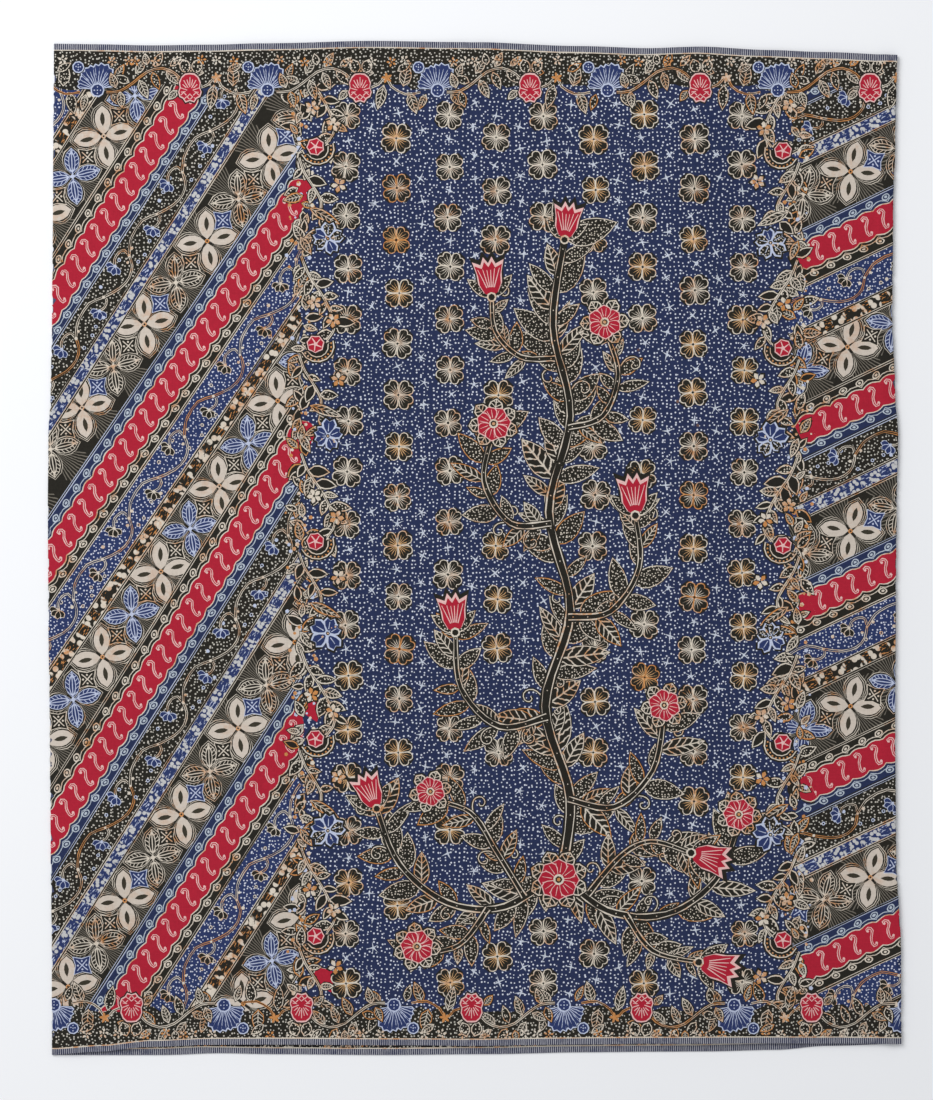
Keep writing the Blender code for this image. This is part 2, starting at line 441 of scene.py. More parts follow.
def make_poured_blobs():
    """Clusters of wax drops with short strokes between. Motif is millimetres along and across."""
    group, start, end = new_group(
        "poured_blobs",
        [
            *MOTIF_INPUTS,
            ("Drop", "NodeSocketFloat", 6.0),
            ("Cluster", "NodeSocketFloat", 21.0),
        ],
        [("Drops", "NodeSocketFloat"), ("Strokes", "NodeSocketFloat")],
    )
    small = group.nodes.new("ShaderNodeTexVoronoi")
    small.voronoi_dimensions = "2D"
    small.inputs["Randomness"].default_value = 0.75
    group.links.new(start.outputs["Motif"], small.inputs["Vector"])
    group.links.new(math_node(group, "DIVIDE", 1.0, start.outputs["Drop"]), small.inputs["Scale"])
    drops = mask_between(group, small.outputs["Distance"], 0.38, 0.48)
    drops = math_node(group, "SUBTRACT", 1.0, drops)
    along, across = motif_axes(group, start)
    wander = noise_node(group, stretched(group, start.outputs["Motif"], (0.11, 0.05, 1.0)), 1.0)
    along_part = math_node(group, "ADD", along, math_node(group, "MULTIPLY", wander, 16.0))
    part = from_nearest(group, along_part, start.outputs["Cluster"])
    cluster = near(group, part, 0.26, 0.06)
    group.links.new(math_node(group, "MULTIPLY", drops, cluster), end.inputs["Drops"])
    streak = noise_node(group, stretched(group, start.outputs["Motif"], (0.18, 0.75, 1.0)), 1.0, 1.0)
    strokes = mask_between(group, streak, 0.58, 0.63)
    free = math_node(group, "SUBTRACT", 1.0, cluster)
    group.links.new(math_node(group, "MULTIPLY", strokes, free), end.inputs["Strokes"])
    return group


def make_crossed_square():
    """A cross from corner to corner with a dot in each quarter. Motif runs -1 to 1 both ways."""
    group, start, end = new_group("crossed_square", [*MOTIF_INPUTS], [("Mask", "NodeSocketFloat")])
    along, across = unsteady_place(group, start, 0.12)
    along, across = math_node(group, "ABSOLUTE", along), math_node(group, "ABSOLUTE", across)
    larger = math_node(group, "MAXIMUM", along, across)
    smaller = math_node(group, "MINIMUM", along, across)
    cross = near(group, math_node(group, "SUBTRACT", larger, smaller), 0.05, 0.05)
    ends = math_node(group, "SUBTRACT", 1.0, mask_between(group, larger, 0.56, 0.62))
    cross = math_node(group, "MULTIPLY", cross, ends)
    off = math_node(group, "SUBTRACT", larger, 0.46)
    square = math_node(group, "MULTIPLY", off, off)
    apart = math_node(group, "SQRT", math_node(group, "MULTIPLY_ADD", smaller, smaller, square))
    spots = near(group, apart, 0.08, 0.05)
    group.links.new(math_node(group, "MAXIMUM", cross, spots), end.inputs["Mask"])
    return group


def make_comb():
    """Short ticks side by side, uneven in width. Motif is in millimetres along and across."""
    group, start, end = new_group(
        "comb_ticks",
        [*MOTIF_INPUTS, ("Pitch", "NodeSocketFloat", 2.2)],
        [("Mask", "NodeSocketFloat")],
    )
    along, _ = unsteady_place(group, start, 0.9)
    part = math_node(group, "ABSOLUTE", from_nearest(group, along, start.outputs["Pitch"]))
    uneven = noise_node(group, stretched(group, start.outputs["Motif"], (0.5, 0.09, 1.0)), 1.0)
    part = math_node(group, "ADD", part, math_node(group, "MULTIPLY", uneven, 0.22))
    ticks = math_node(group, "SUBTRACT", 1.0, mask_between(group, part, 0.36, 0.44))
    group.links.new(ticks, end.inputs["Mask"])
    return group


weave_group = make_weave()
dye_group = make_dye_bath()
dot_group = make_wax_dots()
stain_group = make_soga_stain()
vein_group = make_leaf_veins()
burst_group = make_burst()
eye_group = make_eye_row()
blob_group = make_poured_blobs()
cross_group = make_crossed_square()
comb_group = make_comb()


def placed_group(material, group, place, **values):
    """The group as a node of the material, reading the cloth's own place, with its values."""
    node = material.node_tree.nodes.new("ShaderNodeGroup")
    node.node_tree = group
    for label, value in values.items():
        node.inputs[label.replace("_", " ")].default_value = value
    material.node_tree.links.new(place, node.inputs["Place"])
    return node


def mixed_colour(tree, mask, under, over):
    """The colour under, turning to the colour over where the mask is 1."""
    mix = tree.nodes.new("ShaderNodeMix")
    mix.data_type = "RGBA"
    tree.links.new(mask, mix.inputs["Factor"])
    for socket, colour in ((mix.inputs[6], under), (mix.inputs[7], over)):
        if isinstance(colour, tuple):
            socket.default_value = colour
        else:
            tree.links.new(colour, socket)
    return mix.outputs[2]


def dyed_cotton(name, colour, dots=None, stain=None, motif=None, cloud=0.25, mottle=0.45, slub=0.5):
    """The cotton in one dye. Dots are (colour, per metre, radius, stray); stain is (colour, amount).

    A motif is (group, values, colours), with a colour for each mask that the group puts out.
    """
    cotton = bpy.data.materials.new(name)
    cotton.use_nodes = True
    cotton.diffuse_color = colour
    tree = cotton.node_tree
    shader = tree.nodes["Principled BSDF"]
    shader.inputs["Roughness"].default_value = COTTON_ROUGHNESS
    shader.inputs["Specular IOR Level"].default_value = COTTON_GLOSS
    place = tree.nodes.new("ShaderNodeTexCoord").outputs["Object"]
    weave = placed_group(cotton, weave_group, place, Pitch=THREAD_PITCH)
    shown = colour
    if dots:
        dot_colour, per_metre, radius, stray = dots
        marks = placed_group(
            cotton, dot_group, place, Per_metre=per_metre, Radius=radius, Stray=stray
        )
        shown = mixed_colour(tree, marks.outputs["Mask"], shown, dot_colour)
    if motif:
        group, values, line_colours = motif
        marks = placed_group(cotton, group, place, **values)
        inside = tree.nodes.new("ShaderNodeUVMap")
        inside.uv_map = MOTIF_MAP
        tree.links.new(inside.outputs["UV"], marks.inputs["Motif"])
        worn = placed_group(cotton, stain_group, place, Amount=1.0)
        for mask, line_colour in zip(marks.outputs, line_colours):
            if line_colour == UNDYED:
                line_colour = mixed_colour(tree, worn.outputs["Mask"], UNDYED, AMBER)
            shown = mixed_colour(tree, mask, shown, line_colour)
    if stain:
        stain_colour, amount = stain
        creep = placed_group(cotton, stain_group, place, Amount=amount)
        shown = mixed_colour(tree, creep.outputs["Mask"], shown, stain_colour)
    bath = placed_group(cotton, dye_group, place, Cloud=cloud, Mottle=mottle, Slub=slub)
    if isinstance(shown, tuple):
        bath.inputs["Colour"].default_value = shown
    else:
        tree.links.new(shown, bath.inputs["Colour"])
    tree.links.new(weave.outputs["Threads"], bath.inputs["Threads"])
    tree.links.new(bath.outputs["Colour"], shader.inputs["Base Color"])
    bump = tree.nodes.new("ShaderNodeBump")
    bump.inputs["Strength"].default_value = 0.5
    bump.inputs["Distance"].default_value = THREAD_BUMP
    tree.links.new(weave.outputs["Height"], bump.inputs["Height"])
    tree.links.new(bump.outputs["Normal"], shader.inputs["Normal"])
    return cotton


SOGA_BLACK = from_srgb(38, 36, 31)
SLIT_BLACK = from_srgb(58, 54, 44)
INDIGO = from_srgb(39, 48, 80)
BAND_BLUE = from_srgb(43, 55, 96)
MOTIF_BLUE = from_srgb(43, 55, 98)
UNDYED = from_srgb(210, 200, 185)
PLAIN_PETAL = from_srgb(201, 190, 178)
PALE_DROPS = from_srgb(190, 190, 190)
HALF_DYED = from_srgb(112, 106, 96)
AMBER = from_srgb(192, 132, 78)
WARM_CREAM = from_srgb(206, 164, 116)
RED = from_srgb(168, 33, 52)
PINK = from_srgb(222, 180, 176)
PALE_BLUE = from_srgb(184, 192, 214)
WAX_ON_BLACK = from_srgb(192, 187, 176)
WAX_ON_BLUE = from_srgb(206, 210, 224)
WORN_EDGE = from_srgb(168, 168, 174)
TICK_BLUE = from_srgb(46, 50, 74)
STAR_WHITE = from_srgb(190, 196, 208)
RUST = from_srgb(112, 84, 74)
EYE_LINE = from_srgb(178, 188, 198)
REVERSE = from_srgb(70, 76, 104)

# The dyes, in the order of the cloth's material slots.
DYES = {
    "black": dyed_cotton("soga_black", SOGA_BLACK, mottle=0.8),
    "black_dotted": dyed_cotton(
        "soga_black_dotted", SOGA_BLACK, dots=(WAX_ON_BLACK, 262.0, 0.205, 0.80), mottle=0.8
    ),
    "indigo": dyed_cotton("indigo_plain", INDIGO, cloud=0.3),
    "indigo_dotted": dyed_cotton(
        "indigo_field", INDIGO, dots=(WAX_ON_BLUE, 222.0, 0.176, 0.72), cloud=0.3
    ),
    "blue": dyed_cotton("motif_blue", MOTIF_BLUE, mottle=0.6),
    "blue_dotted": dyed_cotton(
        "indigo_dotted_band", BAND_BLUE, dots=(WAX_ON_BLUE, 268.0, 0.200, 0.80)
    ),
    "cream": dyed_cotton("undyed_cream", UNDYED, stain=(AMBER, 0.9), cloud=0.15, mottle=0.45),
    "petal": dyed_cotton("plain_petal", PLAIN_PETAL, stain=(AMBER, 0.3), cloud=0.12, mottle=0.3),
    "slit": dyed_cotton("petal_slit", SLIT_BLACK, mottle=0.8),
    "amber": dyed_cotton("soga_amber", AMBER, stain=(UNDYED, 0.8), mottle=0.6),
    "red": dyed_cotton("root_red", RED, cloud=0.2, mottle=0.35),
    "pink": dyed_cotton("washed_pink", PINK),
    "pale": dyed_cotton("pale_blue_line", PALE_BLUE, mottle=0.5),
    "comb": dyed_cotton(
        "selvedge_comb", WORN_EDGE, stain=(INDIGO, 0.45), motif=(comb_group, {}, [TICK_BLUE]), mottle=0.6
    ),
    "star": dyed_cotton("star_white", STAR_WHITE, mottle=0.6),
    "rust": dyed_cotton("rust_mark", RUST, stain=(INDIGO, 0.9), mottle=0.9),
    "reverse": dyed_cotton("reverse_side", REVERSE, mottle=0.6),
    "spotted": dyed_cotton(
        "black_spotted", SOGA_BLACK, dots=(UNDYED, 330.0, 0.215, 0.85), mottle=0.8
    ),
    "veined": dyed_cotton("veined_black", SOGA_BLACK, motif=(vein_group, {"Veins": 6.0}, [UNDYED])),
    "flower_black": dyed_cotton(
        "flower_leaf_black", SOGA_BLACK, motif=(vein_group, {"Veins": 7.0, "Core": 1.0}, [UNDYED])
    ),
    "flower_blue": dyed_cotton(
        "flower_leaf_blue", MOTIF_BLUE, motif=(vein_group, {"Veins": 7.0, "Core": 1.0}, [PALE_BLUE])
    ),
    "burst": dyed_cotton("petal_burst", SOGA_BLACK, motif=(burst_group, {}, [UNDYED])),
    "browned_burst": dyed_cotton(
        "browned_burst", SOGA_BLACK, motif=(burst_group, {"Solid": 3.4}, [WARM_CREAM])
    ),
    "fan_blue": dyed_cotton(
        "fan_blue", MOTIF_BLUE, motif=(burst_group, {"Rays": 34.0, "Reach": 24.0, "Solid": 5.0}, [PALE_BLUE])
    ),
    "rays": dyed_cotton(
        "fine_rays",
        SOGA_BLACK,
        motif=(burst_group, {"Rays": 64.0, "Reach": 125.0, "Solid": 1.0, "Wide": 0.22}, [HALF_DYED]),
    ),
    "eyes_blue": dyed_cotton("eyes_on_blue", INDIGO, motif=(eye_group, {}, [EYE_LINE])),
    "eyes_black": dyed_cotton("eyes_on_black", SOGA_BLACK, motif=(eye_group, {}, [UNDYED])),
    "blobs_blue": dyed_cotton(
        "blobs_on_blue", MOTIF_BLUE, motif=(blob_group, {"Drop": 4.6}, [PALE_DROPS, PALE_BLUE])
    ),
    "blobs_black": dyed_cotton(
        "blobs_on_black", SOGA_BLACK, motif=(blob_group, {"Drop": 7.0}, [UNDYED, AMBER])
    ),
    "crossed_blue": dyed_cotton("crossed_blue", MOTIF_BLUE, motif=(cross_group, {}, [PALE_BLUE])),
    "crossed_black": dyed_cotton("crossed_black", SOGA_BLACK, motif=(cross_group, {}, [UNDYED])),
}
DYE_NUMBER = {name: number for number, name in enumerate(DYES)}


# How the cloth lies
# The tube is pressed flat: the cloth turns over at the left and its two ends are seamed at the right.
# Sizes are in millimetres from here on, across the cloth and up it, as it lies spread on the table.
WIDTH = 884.0
HEIGHT = 1045.0
WALL = 0.9
TURN_RADIUS = 1.15
SEAM_TURN_IN = 9.0
FOLD_RETURN = 6.0
REST_TOP = 2.3  # the upper face of two layers
SEAM_TOP = 4.9  # the upper face over the two turned-in ends
MM = 0.001

# The lower and upper edges wander from straight, at a share of the width.
AcrossRow = namedtuple("AcrossRow", "share top front_bottom back_top back_bottom")
ACROSS = (
    AcrossRow(0.00, 1.1, -10.2, 1.1, -10.2),
    AcrossRow(0.06, 0.2, -6.3, -1.2, -10.2),
    AcrossRow(0.12, -0.9, -1.2, -3.0, -10.1),
    AcrossRow(0.19, -0.2, 1.0, -3.0, -8.2),
    AcrossRow(0.25, 1.0, 1.6, -2.0, -9.2),
    AcrossRow(0.38, 3.9, 0.6, 0.6, -10.1),
    AcrossRow(0.50, 2.2, 0.2, -0.6, -9.2),
    AcrossRow(0.62, -1.6, 1.4, -4.2, -7.2),
    AcrossRow(0.70, -3.8, 2.2, -6.0, -6.6),
    AcrossRow(0.76, -2.4, 2.4, -5.4, -6.3),
    AcrossRow(0.84, -5.8, 2.6, -8.0, -4.7),
    AcrossRow(0.90, -7.8, 2.4, -9.4, -0.6),
    AcrossRow(1.00, -11.3, 1.9, -11.3, 1.9),
)

# The side edges wander too, at a share of the height.
AlongRow = namedtuple("AlongRow", "share left right")
ALONG = (
    AlongRow(0.00, 2.1, 5.2),
    AlongRow(0.09, 2.0, 4.7),
    AlongRow(0.20, 0.7, -0.4),
    AlongRow(0.31, -0.2, -1.3),
    AlongRow(0.44, -1.7, -0.7),
    AlongRow(0.53, -2.2, 0.2),
    AlongRow(0.61, -1.6, 1.7),
    AlongRow(0.65, 0.7, -1.3),
    AlongRow(0.73, 2.2, -4.3),
    AlongRow(0.84, 3.1, -3.4),
    AlongRow(0.90, 3.4, -1.3),
    AlongRow(1.00, 4.2, 1.0),
)

# Creases left by folding the sarong away in quarters: a low ridge with a pressed line in it.
Crease = namedtuple("Crease", "share ridge ridge_half press press_half lean")
CREASES = (
    Crease(0.252, 1.5, 24.0, 0.7, 6.0, 0.003),
    Crease(0.497, 1.9, 28.0, 1.2, 7.0, -0.004),
    Crease(0.752, 1.6, 24.0, 0.8, 6.0, 0.005),
)

# Broad soft swells where air stays under the front layer: waves over the cloth and height.
Swell = namedtuple("Swell", "height waves_across waves_along phase")
SWELLS = (
    Swell(0.7, 1.5, 1.0, 0.4),
    Swell(0.4, 3.5, 2.0, 2.1),
    Swell(0.3, 2.0, 4.5, 4.0),
)
HEM_LIFT = 1.2
HEM_REACH = 0.05
SIDE_FADE = 0.03


def eased(rows, share, column):
    """A column of a table at shares of the way, eased between the two nearest rows."""
    shares = np.array([row.share for row in rows])
    values = np.array([getattr(row, column) for row in rows])
    share = np.clip(share, 0.0, 1.0)
    index = np.clip(np.searchsorted(shares, share) - 1, 0, len(rows) - 2)
    part = (share - shares[index]) / (shares[index + 1] - shares[index])
    part = part * part * (3.0 - 2.0 * part)
    return values[index] + (values[index + 1] - values[index]) * part


def soft_step(value):
    value = np.clip(value, 0.0, 1.0)
    return value * value * (3.0 - 2.0 * value)


def side_edges(y):
    """The left and right edges of the laid cloth at a height."""
    along = y / HEIGHT + 0.5
    return (
        -WIDTH / 2 + eased(ALONG, along, "left"),
        WIDTH / 2 + eased(ALONG, along, "right"),
    )


def relief(across, along):
    """How far the front layer stands above lying flat on the back layer."""
    rise = np.zeros_like(across)
    for swell in SWELLS:
        angle = 2.0 * math.pi * (swell.waves_across * across + swell.waves_along * along)
        rise += swell.height * (1.0 + np.sin(angle + swell.phase)) / 2.0
    for crease in CREASES:
        middle = crease.share + crease.lean * np.sin(math.pi * along)
        away = (across - middle) * WIDTH
        rise += crease.ridge * np.exp(-((away / crease.ridge_half) ** 2))
        rise -= crease.press * np.exp(-((away / crease.press_half) ** 2))
    rise += HEM_LIFT * np.maximum(0.0, 1.0 - along / HEM_REACH) ** 2
    return np.maximum(0.0, rise) * soft_step(np.minimum(across, 1.0 - across) / SIDE_FADE)


def lie_front(x, y):
    """Where the outer face of the front stretch lies for a point of the spread cloth."""
    left, right = side_edges(y)
    along = np.clip(y / HEIGHT + 0.5, 0.0, 1.0)
    across = np.clip((x - left) / (right - left), 0.0, 1.0)
    climb = soft_step((SEAM_TURN_IN * 2.6 - (right - x)) / (SEAM_TURN_IN * 1.4))
    top = REST_TOP + (SEAM_TOP - REST_TOP) * climb + relief(across, along)
    half_turn = math.pi * TURN_RADIUS
    over = left + TURN_RADIUS - x
    angle = np.clip(over, 0.0, half_turn) / TURN_RADIUS
    past = np.maximum(over - half_turn, 0.0)
    left_x = left + TURN_RADIUS - TURN_RADIUS * np.sin(angle) + past
    left_z = TURN_RADIUS + TURN_RADIUS * np.cos(angle)
    down = x - (right - TURN_RADIUS)
    turned = np.clip(down, 0.0, half_turn) / TURN_RADIUS
    inside = np.maximum(down - half_turn, 0.0)
    right_x = right - TURN_RADIUS + TURN_RADIUS * np.sin(turned) - inside
    right_z = SEAM_TOP - TURN_RADIUS + TURN_RADIUS * np.cos(turned)
    lying_x = np.where(over > 0.0, left_x, np.where(down > 0.0, right_x, x))
    lying_z = np.where(over > 0.0, left_z, np.where(down > 0.0, right_z, top))
    return np.stack([lying_x, y, lying_z], axis=1)


def lie_back(x, y):
    """Where the outer face of the back stretch lies: on the table, with its end turned up and in."""
    _, right = side_edges(y)
    half_turn = math.pi * TURN_RADIUS
    down = x - (right - TURN_RADIUS)
    turned = np.clip(down, 0.0, half_turn) / TURN_RADIUS
    inside = np.maximum(down - half_turn, 0.0)
    right_x = right - TURN_RADIUS + TURN_RADIUS * np.sin(turned) - inside
    right_z = TURN_RADIUS - TURN_RADIUS * np.cos(turned)
    return np.stack([np.where(down > 0.0, right_x, x), y, np.where(down > 0.0, right_z, 0.0)], axis=1)


def outer_normals(lie, x, y, facing):
    """The outward direction of the laid cloth, from how it lies a little to each side."""
    step = 0.15
    to_right = lie(x + step, y) - lie(x - step, y)
    upward = lie(x, y + step) - lie(x, y - step)
    normals = np.cross(to_right, upward) * facing
    return normals / np.maximum(np.linalg.norm(normals, axis=1, keepdims=True), 1e-12)


def cloth_outline(left_reach, right_reach, bottom_column, top_column, step=9.0):
    """The cut edge of one stretch of the spread cloth, anticlockwise from the lower left."""
    rows = np.linspace(-0.5, 0.5, round(HEIGHT / step))
    wide = round(WIDTH / step)
    shares = np.linspace(0.0, 1.0, wide)
    bottom_y = -HEIGHT / 2 + eased(ACROSS, shares, bottom_column)
    top_y = HEIGHT / 2 + eased(ACROSS, shares, top_column)
    edges = {}
    for end, ys in (("bottom", bottom_y), ("top", top_y)):
        left, right = side_edges(ys)
        reach_left = left + TURN_RADIUS - left_reach
        reach_right = right - TURN_RADIUS + right_reach
        edges[end] = list(zip(reach_left + (reach_right - reach_left) * shares, ys))
    sides = {}
    for side, corner in (("left", 0), ("right", -1)):
        ys = bottom_y[corner] + (rows + 0.5) * (top_y[corner] - bottom_y[corner])
        left, right = side_edges(ys)
        if side == "left":
            xs = left + TURN_RADIUS - left_reach
        else:
            xs = right - TURN_RADIUS + right_reach
        sides[side] = list(zip(xs, ys))
    loop = edges["bottom"] + sides["right"][1:-1] + edges["top"][::-1] + sides["left"][-2:0:-1]
    return [(float(x), float(y)) for x, y in loop]


# Drawing with the wax pen
# The dyer draws outlines and fills them. Each mark is a filled outline on the spread cloth, and a
# later mark covers an earlier one. Lines are narrow ribbons, as wide as the pen's spout leaves them.
HAIR_LINE = 0.62
FINE_LINE = 0.85
PEN_LINE = 1.2
HAND_SHAKE = 0.09
DRAWN_FROM = (1.5, -3.2)  # the middle that the drawing is set out from, on the spread cloth


class Drawing:
    """The marks on one stretch of cloth, in order: their points, outlines and dyes."""

    def __init__(self, seed):
        self.points = []
        self.outlines = []
        self.dyes = []
        self.frames = []
        self.hand = random.Random(seed)

    def placed(self, x, y):
        """A point on the cloth, as exactly as a hand can set it."""
        shake_x, shake_y = self.hand.gauss(0.0, HAND_SHAKE), self.hand.gauss(0.0, HAND_SHAKE)
        return x + DRAWN_FROM[0] + shake_x, y + DRAWN_FROM[1] + shake_y

    def fill(self, dye, points, frame=None):
        """A filled outline, turned anticlockwise whichever way it was drawn.

        A frame is (x, y, angle, unit along, unit across): the place that the dye's motif is read in.
        """
        area = sum(
            ax * by - bx * ay for (ax, ay), (bx, by) in zip(points, points[1:] + points[:1])
        )
        if abs(area) < 0.05:
            return
        first = len(self.points)
        self.points += [self.placed(x, y) for x, y in (points if area > 0 else points[::-1])]
        self.outlines.append(list(range(first, first + len(points))))
        self.dyes.append(DYE_NUMBER[dye])
        if frame is None:
            self.frames.append((0.0, 0.0, 0.0, 0.0, 0.0, 0.0))
        else:
            x, y, angle, unit_along, unit_across = frame
            turn = math.radians(angle)
            origin = (x + DRAWN_FROM[0], y + DRAWN_FROM[1])
            along = (math.cos(turn) / unit_along, math.sin(turn) / unit_along)
            self.frames.append((*origin, *along, unit_along / unit_across, 1.0))

    def line(self, dye, path, width=PEN_LINE, tip=1.0):
        """A ribbon along a path, with its far end narrowed to a share of its width."""
        last = len(path) - 1
        first = len(self.points)
        for i, (x, y) in enumerate(path):
            ax, ay = path[max(i - 1, 0)]
            bx, by = path[min(i + 1, last)]
            length = math.hypot(bx - ax, by - ay) or 1.0
            half = width / 2 * (1.0 + (tip - 1.0) * i / last) * self.hand.uniform(0.84, 1.16)
            side_x, side_y = -(by - ay) / length * half, (bx - ax) / length * half
            x, y = self.placed(x, y)
            self.points += [(x + side_x, y + side_y), (x - side_x, y - side_y)]
        for i in range(last):
            at = first + 2 * i
            self.outlines.append([at, at + 1, at + 3, at + 2])
            self.dyes.append(DYE_NUMBER[dye])
            self.frames.append((0.0, 0.0, 0.0, 0.0, 0.0, 0.0))


def smooth(points, steps=3, closed=False):
    """A soft curve through the given points."""
    count = len(points)
    curve = []
    for i in range(count if closed else count - 1):
        if closed:
            four = [points[(i + k) % count] for k in (-1, 0, 1, 2)]
        else:
            four = [points[min(max(i + k, 0), count - 1)] for k in (-1, 0, 1, 2)]
        (ax, ay), (bx, by), (cx, cy), (dx, dy) = four
        for step in range(steps):
            t = step / steps
            weights = (
                (-t + 2 * t * t - t**3) / 2,
                (2 - 5 * t * t + 3 * t**3) / 2,
                (t + 4 * t * t - 3 * t**3) / 2,
                (-t * t + t**3) / 2,
            )
            curve.append((
                ax * weights[0] + bx * weights[1] + cx * weights[2] + dx * weights[3],
                ay * weights[0] + by * weights[1] + cy * weights[2] + dy * weights[3],
            ))
    if not closed:
        curve.append(points[-1])
    return curve


def set_at(points, x, y, angle=0.0, size=1.0, flip=1):
    """Points of a motif, turned by an angle in degrees, sized and moved to its place."""
    cos, sin = math.cos(math.radians(angle)) * size, math.sin(math.radians(angle)) * size
    return [(x + u * cos - v * flip * sin, y + u * sin + v * flip * cos) for u, v in points]


def ring_of(radius, count=8, squash=1.0, start=0.0):
    """Points round a circle or oval about the origin."""
    angles = [start + 2 * math.pi * i / count for i in range(count)]
    return [(radius * math.cos(a), radius * squash * math.sin(a)) for a in angles]


def lens(start, end, half, count=4, belly=0.5, blunt=0.8):
    """A pointed oval along the first axis, widest at a share of its length."""
    side = []
    for i in range(1, count + 1):
        t = i / (count + 1)
        bent = t ** (math.log(0.5) / math.log(belly))
        side.append((start + (end - start) * t, half * math.sin(math.pi * bent) ** blunt))
    return [(start, 0.0), *((u, -v) for u, v in side), (end, 0.0), *side[::-1]]


def dot(drawing, dye, x, y, radius, count=6):
    drawing.fill(dye, set_at(ring_of(radius, count), x, y))


# Hatched leaves
# The filling leaf of every border and stem: a dark pointed oval with a light outline, a midrib and
# slanting veins. Its dark halo keeps it clear of the dotted ground.
def leaf(drawing, x, y, angle, length, width, line="cream", inside="veined", edge=FINE_LINE):
    """A pointed leaf. The veins are in its own dye, read along and across the leaf."""
    steps = 3 if length < 30.0 else 5
    drawing.fill("black", set_at(lens(-1.2, length + 1.6, width / 2 + 1.3, 2, 0.42), x, y, angle))
    drawing.fill(line, set_at(lens(0.0, length, width / 2, steps, 0.42), x, y, angle))
    hollow = set_at(lens(1.2, length - 1.5, width / 2 - edge, steps, 0.42), x, y, angle)
    drawing.fill(inside, hollow, (x, y, angle, length, width / 2))


def plain_leaf(drawing, x, y, angle, length, width, line="cream"):
    """A leaf with a light outline, filled with wax dots instead of veins."""
    leaf(drawing, x, y, angle, length, width, line, "spotted")


BOLD_EDGE = 1.4


def leafy_stem(drawing, path, leaf_length, rng, spacing=9.0, width=2.4, line="cream"):
    """A stem with leaves on both sides in turn, drawn from its root to its tip."""
    drawing.line("black", path, width + 2.6)
    walked, side = 0.0, 1
    for (ax, ay), (bx, by) in zip(path, path[1:]):
        walked += math.hypot(bx - ax, by - ay)
        if walked < spacing:
            continue
        walked = 0.0
        side = -side
        angle = math.degrees(math.atan2(by - ay, bx - ax)) + side * rng.uniform(36, 66)
        length = leaf_length * rng.uniform(0.8, 1.3)
        wide = length * rng.uniform(0.42, 0.56)
        inside = rng.choice(("veined", "spotted", "black"))
        leaf(drawing, bx, by, angle, length, wide, line, inside, BOLD_EDGE)
    drawing.line(line, path, width)
    drawing.line("black", path, width - 2 * FINE_LINE)


# The striped selvedges
# A narrow comb of indigo ticks with a light line on its inner side runs along the upper and lower
# edges of every batik cloth, dyed right up to the woven edge.
COMB_DEEP = 6.2
COMB_LINE = 1.1


def selvedge(drawing, column, inward):
    """The comb along one edge: inward is 1 at a lower edge and -1 at an upper one."""
    shares = np.linspace(-0.02, 1.02, 70)
    xs = -WIDTH / 2 + WIDTH * shares - DRAWN_FROM[0]
    ys = -inward * HEIGHT / 2 + eased(ACROSS, shares, column) - DRAWN_FROM[1]
    outer = [(float(x), float(y) - 4.0 * inward) for x, y in zip(xs, ys)]
    line = [(float(x), float(y) + (COMB_DEEP + COMB_LINE) * inward) for x, y in zip(xs, ys)]
    ground = [(float(x), float(y) + COMB_DEEP * inward) for x, y in zip(xs, ys)]
    drawing.fill("cream", outer + line[::-1])
    drawing.fill("comb", outer + ground[::-1], (0.0, 0.0, 0.0, 1.0, 1.0))


# The slanting bands
# Red bands with a row of hooks run up the head panel and the end panel. Between two of them lie,
# in turn, a narrow eyed strip, a dotted band with a creeper, a strip of light blobs and a band of
# four-petalled flowers. The strips beside a black creeper band are blue, and those beside a blue
# one are black.
SCALLOP = 19.0  # from one hook of a red band to the next
RED_HALF = 12.4
SCALLOP_DEEP = 3.6
HOOK = (
    (-4.2, 6.4), (-5.4, 8.2), (-3.8, 10.0), (-0.8, 9.6), (0.8, 7.4), (0.4, 4.0),
    (-0.3, 0.6), (0.2, -3.0), (1.5, -6.6), (3.6, -8.8), (5.8, -7.9), (5.9, -5.4),
)
GAP = 158.6  # from one red band to the next, square across them
STRIP_OUTER = 25.0
BAND_RUN_ON = 48.0  # how far a band's strips go on under the field and the upper border
BLOBS_INNER = 64.5
LINES_OUTER = 79.0
CREEPER_PERIOD = 103.0
CREEPER_MIDDLE = 42.0
CREEPER_STEM = (
    (0, 2), (10, -4), (19, -7), (38, -7), (52, 3), (69, 13), (84, 15.5), (96, 11), (103, 2),
)
UPPER_CROOK = ((0, 2), (2, -6), (-4, -10), (-12, -9.5), (-17, -5))
LOWER_CROOK = ((53, 4), (50, 9), (43, 10), (38, 7.5))


def double_line(drawing, path, dye="cream", gap_dye="black", width=2.7):
    """Two thin lines side by side."""
    drawing.line(dye, path, width)
    drawing.line(gap_dye, path, width - 2 * HAIR_LINE)


def lobed_bud(drawing, x, y, angle, line, inside):
    """The creeper's bud: four round lobes fanned out below a small cap."""
    for turn in (-62, 62, -22, 22):
        lobe = lens(0.5, 10.4, 3.3, 3, 0.6, 0.6)
        drawing.fill(line, set_at(lobe, x, y, angle + turn))
        hollow = lens(1.6, 9.7, 2.6, 3, 0.6, 0.6)
        drawing.fill(inside, set_at(hollow, x, y, angle + turn))
    dot(drawing, line, x, y, 1.5)


